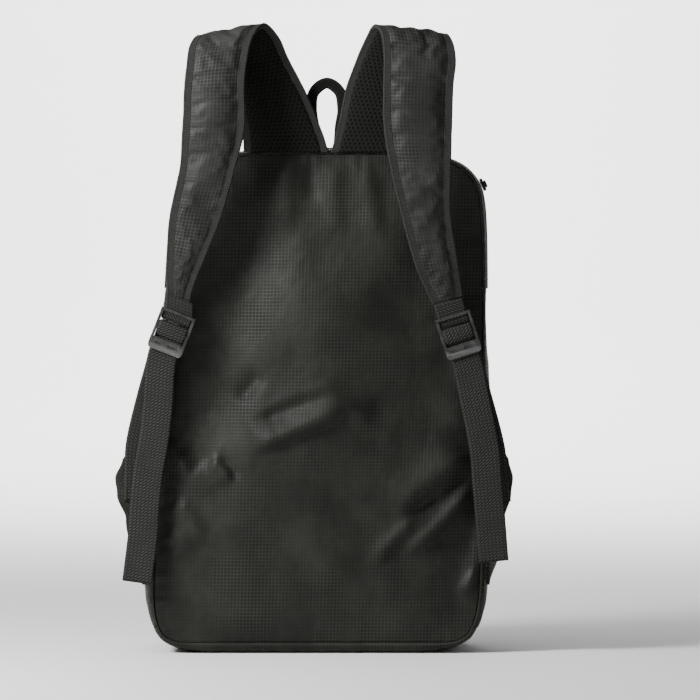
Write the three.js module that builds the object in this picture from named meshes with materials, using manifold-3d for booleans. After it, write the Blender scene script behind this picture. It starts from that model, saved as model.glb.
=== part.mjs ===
// Packable backpack, standing on its base, seen from its straps. Millimetres, +Z up, +X to the
// right, the back panel and its straps towards -Y. The origin is below the middle of its box.
import * as THREE from 'three';
import Module from 'manifold-3d';

// Driving sizes of the bag
const backHeight = 411;       // back panel, from its bottom seam to its top seam
const halfWidth = 137;        // half of the back panel at its widest
const baseDrop = 9;           // how far the base hangs below the bottom seam
const lean = 12.6;            // how far the top stands to the right of the base
const depthBase = 138;        // bag depth at the base
const depthTop = 92;          // bag depth at the top seam
const cloth = 1.2;            // wall of sewn ripstop
const gap = 0.3;              // between sewn pieces
const backCrown = 13;         // how far the back panel stands out between its seams
const frontCrown = 26;        // the same on the front panel
const sideSwell = 9;          // how far the side walls stand out between their seams

// Driving sizes of the zipper and the grab loop
const zipWide = 11;           // visible tape
const zipPlace = 0.42;        // place across the bag's depth
const zipEnd = 0.66;          // where it ends down each side, a share of the half outline
const coilWide = 5;
const coilHigh = 1.8;
const sliderLong = 11;
const sliderWide = 8;
const sliderHigh = 2.6;
const sliderShare = 0.543;    // its place on the right shoulder, from zipEnd to the top corner
const pullLong = 24;
const pullWide = 6;
const pullThick = 1.4;
const bridgeLong = 5.5;       // the slider's bridge, which holds the pull
const bridgeWide = 2.4;
const loopHalf = 13.6;        // grab loop, centre to leg
const loopHigh = 59.5;        // above the top seam
const loopAside = 2.6;        // its middle, left of the straps' middle
const loopBand = 9.4;
const loopThick = 4;
const loopBehind = 5.4;       // behind the seam that holds the straps

// Driving sizes of the straps
const strapRise = 101;        // height of the fold's middle line above the top seam
const strapStand = 40;        // how far the falling half stands in front of the back panel
const strapWide = 58;
const padThick = 7;
const strapEdgeThick = 3.2;
const bindingWide = 7.5;
const liningThick = 1;
const endPinch = 0.36;        // what the sewn-down ends keep of the pad's thickness
const rootSewn = 0.12;        // share of the strap's length that tapers to the root, and to the end
const endSewn = 0.1;
const padGap = 0.5;           // between the pad and its lining
const foldGap = 0.5;          // more beside the bound edges, which bend past the pad at the fold
const webbingWide = 25;
const webbingThick = 1.2;

// Driving sizes of the buckles, webbing tails and wing tabs
const buckleHigh = 36;
const buckleRail = 2.3;
const buckleFront = 3.2;      // front face in front of its middle plane
const buckleBack = 3.7;       // rear face behind it
const buckleCorner = 4.5;
const topBarHigh = 2.3;
const topBarThick = 1.5;
const hangBarRadius = 1.2;    // the bar that the short webbing goes round
const hangBarDown = 6.4;      // from the buckle's top to that bar
const hangBarBehind = 1.2;
const gripBarHigh = 7.4;      // the bar that the long webbing goes round
const gripBarThick = 2.4;
const gripBarDown = 15.1;     // from the buckle's top to the middle of that bar
const gripRound = 1;          // how far its edges are rounded off
const lipDown = 25;           // from the buckle's top to its lower lip
const lipBack = 0.4;          // the lip's rear face behind the middle plane
const recessWide = 7.9;       // each of the two finger grips in the lip
const recessHigh = 3.2;
const recessDeep = 0.8;
const recessAside = 5.6;      // from the buckle's middle to a recess's middle
const recessDown = 4;         // from the lip's upper edge to it
const webbingShown = 13;      // short webbing between the strap's end and the buckle
const webbingEndGap = 1.4;    // from the short webbing's end to the pad
const tailBack = 3;           // how far the hanging end falls back towards the bag
const wingLow = 0.27;         // lower and upper ends of a wing tab's seam, shares of the half outline
const wingHigh = 0.45;
const wingThick = 1.5;
const wingBehind = 5;         // the wing's seam behind the back panel's seam
const wingForward = 5.8;      // how far the wing comes forward of its own seam
const wingBend = 12;          // over this far out from it
const sewnUp = 0.62;          // where the webbing is sewn to it, shares up its seam and of its reach
const sewnOut = 0.5;

// Half of the back panel's seam, from the middle of the base round to the middle of the top.
// across is a share of halfWidth, up a share of backHeight.
const outline = [
  { across: 0, up: 0 },
  { across: 0.3, up: 0 },
  { across: 0.6, up: 0 },
  { across: 0.78, up: 0 },
  { across: 0.86, up: 0.003 },
  { across: 0.925, up: 0.014 },
  { across: 0.965, up: 0.036 },
  { across: 0.99, up: 0.07 },
  { across: 1, up: 0.12 },
  { across: 1, up: 0.235 },
  { across: 0.99, up: 0.395 },
  { across: 0.98, up: 0.538 },
  { across: 0.965, up: 0.7 },
  { across: 0.95, up: 0.824 },
  { across: 0.93, up: 0.9 },
  { across: 0.895, up: 0.938 },
  { across: 0.83, up: 0.964 },
  { across: 0.74, up: 0.98 },
  { across: 0.6, up: 0.991 },
  { across: 0.42, up: 0.999 },
  { across: 0.2, up: 1 },
  { across: 0, up: 1 },
];

// How the walls round the edge stand out. along is a share of the half outline, swell a share
// of the size beside it (baseDrop under the bag, else sideSwell), flat the level middle part.
const edgeForm = [
  { along: 0, swell: 1, flat: 0.84, size: baseDrop - cloth },
  { along: 0.135, swell: 1, flat: 0.84, size: baseDrop - cloth },
  { along: 0.2, swell: 0.5, flat: 0.7, size: baseDrop - cloth },
  { along: 0.27, swell: 0.85, flat: 0.35, size: sideSwell },
  { along: 0.36, swell: 1, flat: 0.2, size: sideSwell },
  { along: 0.5, swell: 0.6, flat: 0.2, size: sideSwell },
  { along: 0.62, swell: 0.3, flat: 0.2, size: sideSwell },
  { along: 0.8, swell: 0.3, flat: 0.2, size: sideSwell },
  { along: 1, swell: 0.4, flat: 0.2, size: sideSwell },
];

// Folds of the back panel, each a straight ridge or, with a negative rise, a dent. across and
// up are shares of halfWidth and backHeight, rise of backCrown, wide of halfWidth.
const folds = [
  { across: -0.44, up: 0.415, toAcross: 0.2, toUp: 0.5, rise: 0.42, wide: 0.085 },
  { across: -0.42, up: 0.445, toAcross: 0.14, toUp: 0.525, rise: -0.32, wide: 0.075 },
  { across: -0.91, up: 0.405, toAcross: -0.74, toUp: 0.354, rise: 0.3, wide: 0.08 },
  { across: -0.74, up: 0.354, toAcross: -0.7, toUp: 0.252, rise: 0.26, wide: 0.08 },
  { across: 0.92, up: 0.384, toAcross: 0.46, toUp: 0.282, rise: 0.4, wide: 0.08 },
  { across: 0.89, up: 0.313, toAcross: 0.55, toUp: 0.185, rise: 0.36, wide: 0.075 },
  { across: 0.7, up: 0.33, toAcross: 0.45, toUp: 0.235, rise: -0.25, wide: 0.06 },
  { across: 0.5, up: 0.231, toAcross: 0.35, toUp: 0.18, rise: 0.24, wide: 0.07 },
  { across: -0.6, up: 0.12, toAcross: 0.5, toUp: 0.09, rise: 0.2, wide: 0.16 },
];

// Soft dents of the front panel, in the same columns.
const frontFolds = [
  { across: -0.7, up: 0.62, toAcross: 0.1, toUp: 0.55, rise: -0.16, wide: 0.12 },
  { across: 0.75, up: 0.45, toAcross: 0.1, toUp: 0.3, rise: -0.18, wide: 0.12 },
  { across: -0.8, up: 0.2, toAcross: -0.3, toUp: 0.34, rise: 0.12, wide: 0.1 },
];

// Shoulder straps, from the root in the top seam over the fold and down to the end. inner and
// outer are the edges' distances from the bag's middle, shares of halfWidth; up is the height
// above the top seam, a share of strapRise; tip is how much higher the inner edge is, a share of
// strapWide; out is the distance in front of the back seam, a share of strapStand.
const strapRows = {
  left: [
    { inner: 0.006, outer: 0.53, up: 0.0096, tip: 0, out: 0.035 },
    { inner: 0.05, outer: 0.54, up: 0.1875, tip: 0.03, out: 0.06 },
    { inner: 0.144, outer: 0.585, up: 0.4738, tip: 0.1, out: 0.14 },
    { inner: 0.245, outer: 0.662, up: 0.7214, tip: 0.15, out: 0.26 },
    { inner: 0.306, outer: 0.722, up: 0.8917, tip: 0.18, out: 0.42 },
    { inner: 0.385, outer: 0.8, up: 1, tip: 0.18, out: 0.64 },
    { inner: 0.46, outer: 0.855, up: 0.9071, tip: 0.16, out: 0.86 },
    { inner: 0.5, outer: 0.871, up: 0.7163, tip: 0.1, out: 0.97 },
    { inner: 0.515, outer: 0.885, up: 0.51, tip: 0.04, out: 1 },
    { inner: 0.514, outer: 0.895, up: 0.1953, tip: 0, out: 0.98 },
    { inner: 0.578, outer: 0.915, up: -0.1606, tip: -0.04, out: 0.92 },
    { inner: 0.66, outer: 0.972, up: -0.5269, tip: -0.07, out: 0.82 },
    { inner: 0.754, outer: 0.994, up: -0.8364, tip: -0.1, out: 0.68 },
    { inner: 0.83, outer: 0.997, up: -1.084, tip: -0.12, out: 0.55 },
    { inner: 0.853, outer: 0.99, up: -1.2078, tip: -0.14, out: 0.48 },
  ],
  right: [
    { inner: 0.006, outer: 0.46, up: 0.0096, tip: 0, out: 0.035 },
    { inner: 0.05, outer: 0.485, up: 0.2262, tip: 0.03, out: 0.06 },
    { inner: 0.095, outer: 0.545, up: 0.51, tip: 0.08, out: 0.14 },
    { inner: 0.16, outer: 0.61, up: 0.7472, tip: 0.1, out: 0.26 },
    { inner: 0.215, outer: 0.665, up: 0.902, tip: 0.12, out: 0.42 },
    { inner: 0.265, outer: 0.712, up: 1, tip: 0.14, out: 0.64 },
    { inner: 0.312, outer: 0.752, up: 0.9226, tip: 0.14, out: 0.86 },
    { inner: 0.325, outer: 0.765, up: 0.7421, tip: 0.08, out: 0.97 },
    { inner: 0.322, outer: 0.75, up: 0.51, tip: 0.02, out: 1 },
    { inner: 0.327, outer: 0.743, up: 0.1953, tip: 0, out: 0.98 },
    { inner: 0.365, outer: 0.736, up: -0.1194, tip: -0.02, out: 0.92 },
    { inner: 0.436, outer: 0.736, up: -0.5166, tip: -0.05, out: 0.82 },
    { inner: 0.514, outer: 0.776, up: -0.8983, tip: -0.08, out: 0.68 },
    { inner: 0.574, outer: 0.797, up: -1.084, tip: -0.1, out: 0.55 },
    { inner: 0.625, outer: 0.812, up: -1.2233, tip: -0.12, out: 0.48 },
  ],
};

// What differs between the two sides: the buckle's lean in degrees, how far the buckle hangs
// inwards of the strap's end, the hanging tail's length, and how far the wing tab reaches.
const sides = {
  left: { sign: -1, buckleLean: 21.5, inwards: 5, tail: 192, wingReach: 31 },
  right: { sign: 1, buckleLean: 18, inwards: 0.4, tail: 172, wingReach: 21 },
};

// Webbing tails: down and outward are shares of the tail's length, turn is the lean in degrees.
const tailRows = {
  left: [
    { down: 0.06, outward: 0.012, turn: 14 },
    { down: 0.213, outward: 0.022, turn: 7 },
    { down: 0.379, outward: 0.041, turn: 8 },
    { down: 0.523, outward: 0.066, turn: 9 },
    { down: 0.659, outward: 0.081, turn: 5 },
    { down: 0.773, outward: 0.088, turn: 4 },
    { down: 1, outward: 0.115, turn: 8 },
  ],
  right: [
    { down: 0.06, outward: 0.016, turn: 15 },
    { down: 0.202, outward: 0.044, turn: 12 },
    { down: 0.33, outward: 0.071, turn: 11 },
    { down: 0.461, outward: 0.094, turn: 8 },
    { down: 0.633, outward: 0.108, turn: 5 },
    { down: 0.794, outward: 0.122, turn: 5 },
    { down: 1, outward: 0.138, turn: 6 },
  ],
};

// The webbing's run from the wing tab up to the buckle: rise is the share of the way up, bow
// the outward bend as a share of wingReach, turn the lean in degrees.
const runRows = [
  { rise: 0, bow: -0.12, turn: -7 },
  { rise: 0.18, bow: 0, turn: -2 },
  { rise: 0.37, bow: 0.12, turn: 8 },
  { rise: 0.7, bow: 0.08, turn: 16 },
  { rise: 0.9, bow: 0.02, turn: 19 },
];

// Wing tab: up is a share of its seam, reach a share of wingReach.
const wingRows = [
  { up: 0, reach: 0.16 },
  { up: 0.25, reach: 0.5 },
  { up: 0.47, reach: 0.64 },
  { up: 0.66, reach: 0.92 },
  { up: 0.78, reach: 1 },
  { up: 0.9, reach: 0.85 },
  { up: 1, reach: 0.6 },
];

// Grab loop, from foot to foot: side is a share of loopHalf, up of its height.
const loopRows = [
  { side: -0.7, up: 0 },
  { side: -0.78, up: 0.3 },
  { side: -0.96, up: 0.62 },
  { side: -0.78, up: 0.87 },
  { side: 0, up: 1 },
  { side: 0.78, up: 0.87 },
  { side: 0.98, up: 0.62 },
  { side: 0.82, up: 0.3 },
  { side: 0.74, up: 0 },
];

// Zipper slider, half of its outline from its narrow end: shares of sliderLong and sliderWide.
const sliderForm = [
  { long: -0.5, wide: 0.3 },
  { long: 0.1, wide: 0.5 },
  { long: 0.5, wide: 0.25 },
];

// Side views of a buckle's rail and of its lower lip, corner by corner. out is a share of
// buckleFront or, behind the middle plane, of the piece's own back. stage goes from the buckle's
// lower end (0) by the lip's upper edge (1) and the grip bar (2) to its top (3).
const railForm = [
  { out: -1, stage: 0.55 },
  { out: -0.4, stage: 0.14 },
  { out: 0.3, stage: 0 },
  { out: 0.75, stage: 0.18 },
  { out: 1, stage: 1 },
  { out: 0.44, stage: 2 },
  { out: 1, stage: 2.74 },
  { out: 1, stage: 3 },
  { out: 0.53, stage: 3 },
  { out: -1, stage: 2.54 },
];
const lipForm = [
  { out: -1, stage: 0.93 },
  { out: 0.12, stage: 1 },
  { out: 1, stage: 1 },
  { out: 0.88, stage: 0.45 },
  { out: 0.5, stage: 0.05 },
  { out: 0.28, stage: 0 },
  { out: 0.06, stage: 0.11 },
  { out: -1, stage: 0.45 },
];

// How finely each surface is divided. The panels' rows and the walls round the edge share the
// same places along the half outline, so that their seams match.
const lowCorner = 0.165;      // where the level bottom seam ends
const sideStart = 0.215;      // where the base ends and the side walls begin
const topCorner = 0.905;      // where the level top seam begins
const cornerShares = [0, 0.26, 0.5, 0.74, 1];
const shoulderShares = [0, 0.16, 0.32, 0.44, sliderShare, 0.63, 0.71, 0.78, 0.85, 0.92, 1];
const underStops = [0, 0.008, 0.03, 0.06, 0.085, 0.5, 0.915, 0.94, 0.97, 0.992, 1];
const sideDepthStops = [0, 0.02, 0.1, 0.28, 0.5, 0.72, 0.9, 0.98, 1];
const gussetSteps = 3;
const sideCount = 10;
const backColumns = 20;
const frontColumns = 12;
const strapSteps = 28;
const padRing = 8;
const loopSteps = 18;
const loopSides = 8;
const barSides = 8;
const turnSteps = 6;
const wingUpSteps = 6;
const wingOutSteps = 4;
const cornerSteps = 3;

// Materials
const ripstop = () => new THREE.MeshStandardMaterial({ color: 0x373734, roughness: 0.62, metalness: 0 });
const paleRipstop = () => new THREE.MeshStandardMaterial({ color: 0x424240, roughness: 0.6, metalness: 0 });
const airMesh = () => new THREE.MeshStandardMaterial({ color: 0x171816, roughness: 0.9, metalness: 0 });
const tape = () => new THREE.MeshStandardMaterial({ color: 0x2b2b28, roughness: 0.75, metalness: 0 });
const webbing = () => new THREE.MeshStandardMaterial({ color: 0x3b3b36, roughness: 0.8, metalness: 0 });
const plastic = () => new THREE.MeshStandardMaterial({ color: 0x161616, roughness: 0.35, metalness: 0 });

const wasm = await Module();
wasm.setup();

const bag = new THREE.Group();

// Numbers and tables
const mix = (a, b, t) => a + (b - a) * t;
const clamp01 = (t) => Math.min(1, Math.max(0, t));
const smooth = (t) => clamp01(t) ** 2 * (3 - 2 * clamp01(t));
const span = (count) => Array.from({ length: count + 1 }, (_, i) => i / count);
const radians = THREE.MathUtils.degToRad;

function readTable(rows, key, at, column) {
  let i = 1;
  while (i < rows.length - 1 && at > rows[i][key]) i += 1;
  const from = rows[i - 1];
  const to = rows[i];
  return mix(from[column], to[column], smooth((at - from[key]) / (to[key] - from[key])));
}

// Turns a closed set of faces so that they point outwards
function closedSolid(points, faces) {
  let volume = 0;
  for (const [a, b, c] of faces) {
    volume += points[a].dot(new THREE.Vector3().crossVectors(points[b], points[c]));
  }
  const index = faces.flatMap(([a, b, c]) => (volume > 0 ? [a, b, c] : [a, c, b]));
  const geometry = new THREE.BufferGeometry().setFromPoints(points);
  geometry.setIndex(index);
  geometry.computeVertexNormals();
  return geometry;
}

// A sheet of cloth with thickness: two grids of points, joined round their edges
function wall(outer, inner) {
  const rows = outer.length;
  const columns = outer[0].length;
  const points = [...outer.flat(), ...inner.flat()];
  const faces = [];
  const quad = (a, b, c, d) => faces.push([a, b, c], [a, c, d]);
  const front = (r, c) => r * columns + c;
  const rear = (r, c) => rows * columns + r * columns + c;
  for (let r = 0; r < rows - 1; r += 1) {
    for (let c = 0; c < columns - 1; c += 1) {
      quad(front(r, c), front(r, c + 1), front(r + 1, c + 1), front(r + 1, c));
      quad(rear(r, c), rear(r + 1, c), rear(r + 1, c + 1), rear(r, c + 1));
    }
    quad(front(r, 0), front(r + 1, 0), rear(r + 1, 0), rear(r, 0));
    quad(front(r + 1, columns - 1), front(r, columns - 1), rear(r, columns - 1), rear(r + 1, columns - 1));
  }
  for (let c = 0; c < columns - 1; c += 1) {
    quad(front(0, c + 1), front(0, c), rear(0, c), rear(0, c + 1));
    quad(front(rows - 1, c), front(rows - 1, c + 1), rear(rows - 1, c + 1), rear(rows - 1, c));
  }
  return closedSolid(points, faces);
}

// A solid through closed sections that all have as many points
function loft(rings) {
  const count = rings[0].length;
  const points = rings.flat();
  const faces = [];
  for (let r = 0; r < rings.length - 1; r += 1) {
    for (let i = 0; i < count; i += 1) {
      const j = (i + 1) % count;
      const [a, b, c, d] = [r * count + i, r * count + j, (r + 1) * count + j, (r + 1) * count + i];
      faces.push([a, b, c], [a, c, d]);
    }
  }
  for (const end of [0, rings.length - 1]) {
    const middle = new THREE.Vector3();
    rings[end].forEach((p) => middle.addScaledVector(p, 1 / count));
    const hub = points.push(middle) - 1;
    for (let i = 0; i < count; i += 1) {
      const [a, b] = [end * count + i, end * count + ((i + 1) % count)];
      faces.push(end === 0 ? [hub, b, a] : [hub, a, b]);
    }
  }
  return closedSolid(points, faces);
}

// Booleans
function toManifold(geometry) {
  const merged = new Map();
  const positions = geometry.getAttribute('position');
  const order = geometry.index ? Array.from(geometry.index.array) : [...Array(positions.count).keys()];
  const vertices = [];
  const triVerts = order.map((i) => {
    const p = [positions.getX(i), positions.getY(i), positions.getZ(i)].map((v) => Math.fround(v));
    const key = p.map((v) => v.toFixed(4)).join();
    if (!merged.has(key)) merged.set(key, vertices.push(p) - 1);
    return merged.get(key);
  });
  const vertProperties = new Float32Array(vertices.flat());
  const mesh = new wasm.Mesh({ numProp: 3, vertProperties, triVerts: new Uint32Array(triVerts) });
  return new wasm.Manifold(mesh);
}

function fromManifold(solid) {
  const mesh = solid.getMesh();
  const geometry = new THREE.BufferGeometry();
  geometry.setAttribute('position', new THREE.BufferAttribute(new Float32Array(mesh.vertProperties), 3));
  geometry.setIndex(new THREE.BufferAttribute(new Uint32Array(mesh.triVerts), 1));
  geometry.computeVertexNormals();
  return geometry;
}

function add(name, geometry, material, parent = bag) {
  const mesh = new THREE.Mesh(geometry, material);
  mesh.name = name;
  parent.add(mesh);
  return mesh;
}

// The bag's edge
const halfOutline = new THREE.SplineCurve(
  outline.map((row) => new THREE.Vector2(row.across * halfWidth, baseDrop + row.up * backHeight)),
);
halfOutline.arcLengthDivisions = 800;
const halfLength = halfOutline.getLength();
const seamStep = gap / halfLength;

const leanAt = (z) => (lean * (z - baseDrop)) / backHeight;
const depthAt = (z) => mix(depthBase, depthTop, smooth((z - baseDrop) / backHeight));

function edge(along, side) {
  const at = halfOutline.getPointAt(clamp01(along));
  const way = halfOutline.getTangentAt(clamp01(along));
  return { x: side * at.x, z: at.y, outX: side * way.y, outZ: -way.x };
}

function bulge(across, flat) {
  const past = (Math.abs(2 * across - 1) - flat) / (1 - flat);
  return past <= 0 ? 1 : Math.sqrt(Math.max(0, 1 - past * past));
}

// The wall round the edge, from the back seam (across 0) to the front seam (across 1)
function edgeWall(along, side, across) {
  const at = edge(along, side);
  const size = readTable(edgeForm, 'along', along, 'size') * readTable(edgeForm, 'along', along, 'swell');
  const swell = size * bulge(across, readTable(edgeForm, 'along', along, 'flat'));
  const z = at.z + at.outZ * swell;
  return new THREE.Vector3(at.x + at.outX * swell + leanAt(z), across * depthAt(at.z), z);
}

function edgeWallOut(along, side, across) {
  const step = 0.002;
  const from = Math.max(0, along - step);
  const to = Math.min(1, along + step);
  const before = Math.max(0, across - step);
  const after = Math.min(1, across + step);
  const round = edgeWall(to, side, across).sub(edgeWall(from, side, across));
  const through = edgeWall(along, side, after).sub(edgeWall(along, side, before));
  return new THREE.Vector3().crossVectors(through, round).multiplyScalar(side).normalize();
}

const cornerStops = cornerShares.map((t) => mix(lowCorner, sideStart, t));
const sideStops = span(sideCount).map((t) => mix(sideStart, zipEnd, t));
const shoulderStops = shoulderShares.map((t) => mix(zipEnd, topCorner, t));
const panelStops = [...cornerStops, ...sideStops.slice(1), ...shoulderStops.slice(1)];
const onSide = (side) => (along) => ({ along, side });
const underPlaces = [0, lowCorner * 0.42, lowCorner * 0.8, ...cornerStops];
const overPlaces = [...shoulderStops, mix(topCorner, 1, 0.5), 1];
const underWay = [...underPlaces.slice(1).reverse().map(onSide(-1)), ...underPlaces.map(onSide(1))];
const overWay = [...overPlaces.map(onSide(-1)), ...overPlaces.slice(0, -1).reverse().map(onSide(1))];

// A wall through places round the edge, divided at stops across the depth
function edgePiece(places, stops) {
  const outer = [];
  const inner = [];
  for (const { along, side } of places) {
    const row = stops.map((across) => edgeWall(along, side, across));
    inner.push(row);
    outer.push(row.map((p, i) => p.clone().addScaledVector(edgeWallOut(along, side, stops[i]), cloth)));
  }
  return wall(outer, inner);
}

// Panels between the seams
function foldRise(rows, x, z, size) {
  let rise = 0;
  for (const row of rows) {
    const from = new THREE.Vector2(row.across * halfWidth, row.up * backHeight);
    const way = new THREE.Vector2(row.toAcross * halfWidth, row.toUp * backHeight).sub(from);
    const at = new THREE.Vector2(x, z).sub(from);
    const t = clamp01(at.dot(way) / way.lengthSq());
    const away = at.addScaledVector(way, -t).length() / (row.wide * halfWidth);
    rise += row.rise * size * Math.exp(-away * away);
  }
  return rise;
}

// u from -1 to 1 across the panel, along its place up the seam; depthOf says where its seams lie
function panelPoint(u, along, towards, crown, rows, depthOf) {
  const at = edge(along, 1);
  const halfHere = at.x - at.outX * gap;
  const z = at.z - at.outZ * gap;
  const x = u * halfHere;
  const up = (z - baseDrop) / backHeight;
  const hold = (1 - Math.abs(u) ** 6) * (1 - Math.abs(2 * up - 1) ** 12);
  const cover = (1 - Math.abs(u) ** 2.6) * (1 - Math.abs(2 * up - 1) ** 4);
  const rise = crown * cover + foldRise(rows, x, z - baseDrop, crown) * hold;
  return new THREE.Vector3(x + leanAt(z), depthOf(z) + towards * rise, z);
}

function panel(towards, crown, rows, depthOf, columns) {
  const shares = span(columns).map((t) => Math.sin((t - 0.5) * Math.PI * 0.8) / Math.sin(Math.PI * 0.4));
  const outer = panelStops.map((along) => (
    shares.map((u) => panelPoint(u, along, towards, crown, rows, depthOf))));
  const inner = outer.map((row) => row.map((p) => new THREE.Vector3(p.x, p.y - towards * cloth, p.z)));
  return wall(outer, inner);
}

// Straps
const strapCurves = {};

function strapCurvesOf(name) {
  const { sign } = sides[name];
  const point = (row, edgeShare, rise) => new THREE.Vector3(
    lean + sign * edgeShare * halfWidth,
    -row.out * strapStand,
    baseDrop + backHeight + row.up * strapRise + rise * row.tip * strapWide * 0.5,
  );
  const inner = strapRows[name].map((row) => point(row, row.inner, 1));
  const outer = strapRows[name].map((row) => point(row, row.outer, -1));
  return {
    inner: new THREE.CatmullRomCurve3(inner, false, 'catmullrom'),
    outer: new THREE.CatmullRomCurve3(outer, false, 'catmullrom'),
  };
}

// The strap's middle, its direction across and the way its outer face looks, at a share t
function strapFrame(name, t) {
  const { inner, outer } = strapCurves[name];
  const a = inner.getPoint(t);
  const b = outer.getPoint(t);
  const step = 0.004;
  const middleAt = (s) => inner.getPoint(clamp01(s)).add(outer.getPoint(clamp01(s))).multiplyScalar(0.5);
  const way = middleAt(t + step).sub(middleAt(t - step)).normalize();
  const across = b.clone().sub(a);
  const width = across.length();
  across.normalize();
  const out = new THREE.Vector3().crossVectors(way, across).multiplyScalar(sides[name].sign).normalize();
  return { middle: a.add(b).multiplyScalar(0.5), across, out, way, width };
}

// Straps are sewn flat at both ends
const strapPinch = (t) => mix(endPinch, 1, smooth(Math.min(t / rootSewn, (1 - t) / endSewn)));

function padHalf(share) {
  return 0.5 * mix(strapEdgeThick, padThick, 1 - Math.abs(share) ** 3);
}

const strapPoint = (frame, side, out) => frame.middle.clone()
  .addScaledVector(frame.across, side)
  .addScaledVector(frame.out, out);

function strapPad(name) {
  const rings = span(strapSteps).map((t) => {
    const frame = strapFrame(name, t);
    const half = frame.width / 2 - bindingWide - padGap - foldGap;
    const shares = span(padRing / 2 - 1).map((s) => mix(-1, 1, s));
    const pinch = strapPinch(t);
    const front = shares.map((s) => strapPoint(frame, s * half, padHalf(s) * pinch));
    const rear = shares.reverse().map((s) => (
      strapPoint(frame, s * half, -padHalf(s) * pinch + liningThick * pinch + padGap)));
    return [...front, ...rear];
  });
  return loft(rings);
}

function strapLining(name) {
  const faceAt = (lift) => span(strapSteps).map((t) => {
    const frame = strapFrame(name, t);
    const half = frame.width / 2 - bindingWide - padGap - foldGap;
    const pinch = strapPinch(t);
    return span(padRing / 2 - 1).map((s) => (
      strapPoint(frame, mix(-half, half, s), (-padHalf(mix(-1, 1, s)) + lift) * pinch)));
  });
  return wall(faceAt(0), faceAt(liningThick));
}

// A bound edge: a flat strip with rounded sides
function strapBinding(name, which) {
  const side = which === 'inner' ? -1 : 1;
  const halfThick = strapEdgeThick / 2;
  const section = [
    [-0.5, -0.8], [-0.35, -1], [0.35, -1], [0.5, -0.4],
    [0.5, 0.4], [0.35, 1], [-0.35, 1], [-0.5, 0.8],
  ];
  return loft(span(strapSteps).map((t) => {
    const frame = strapFrame(name, t);
    const middle = frame.width / 2 - bindingWide / 2;
    const pinch = strapPinch(t);
    return section.map(([a, b]) => (
      strapPoint(frame, side * (middle + a * bindingWide), b * halfThick * pinch)));
  }));
}

// Buckles. Each has its own frame: x across, y up along the webbing, z towards the wearer.
const buckleHalf = webbingWide / 2 + gap + buckleRail;
const buckleTop = buckleHigh / 2;
const hangBar = { up: buckleTop - hangBarDown, out: -hangBarBehind };
const gripBar = { up: buckleTop - gripBarDown, out: 0 };
const lipTop = buckleTop - lipDown;
const buckleStages = [-buckleTop, lipTop, gripBar.up, buckleTop];
const buckleFrames = {};

function buckleFrameOf(name) {
  const { sign, buckleLean, inwards } = sides[name];
  const end = strapFrame(name, 1);
  const turn = radians(sign * buckleLean);
  const up = new THREE.Vector3(-Math.sin(turn), 0, Math.cos(turn));
  const middle = end.middle.clone().addScaledVector(up, -(buckleTop + webbingShown));
  middle.x -= sign * inwards;
  middle.y -= hangBarBehind;
  const across = new THREE.Vector3(Math.cos(turn), 0, Math.sin(turn));
  const slant = end.middle.clone().sub(middle).dot(across) / webbingShown;
  const tilt = end.across.dot(up) / end.across.dot(across);
  return { middle, up, across, turn, slant, tilt };
}

const buckleToBag = (frame, x, up, out) => frame.middle.clone()
  .addScaledVector(frame.across, x)
  .addScaledVector(frame.up, up)
  .add(new THREE.Vector3(0, -out, 0));

// A profile of (z, y) points, extruded across the buckle between two places
function crossBar(profile, from, to) {
  const shape = new THREE.Shape(profile.map(([out, up]) => new THREE.Vector2(out, up)));
  const geometry = new THREE.ExtrudeGeometry(shape, { depth: to - from, bevelEnabled: false });
  geometry.rotateY(-Math.PI / 2);
  geometry.translate(to, 0, 0);
  return geometry;
}

const boxProfile = (out, up, halfOut, halfUp) => [
  [out - halfOut, up - halfUp], [out + halfOut, up - halfUp],
  [out + halfOut, up + halfUp], [out - halfOut, up + halfUp],
];

const roundProfile = (out, up, radius, count) => span(count - 1).map((_, i) => [
  out + radius * Math.cos((2 * Math.PI * i) / count),
  up + radius * Math.sin((2 * Math.PI * i) / count),
]);

function sideView(rows, back) {
  return rows.map(({ out, stage }) => {
    const from = Math.min(Math.floor(stage), buckleStages.length - 2);
    const up = mix(buckleStages[from], buckleStages[from + 1], stage - from);
    return [out * (out > 0 ? buckleFront : back), up];
  });
}

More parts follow.
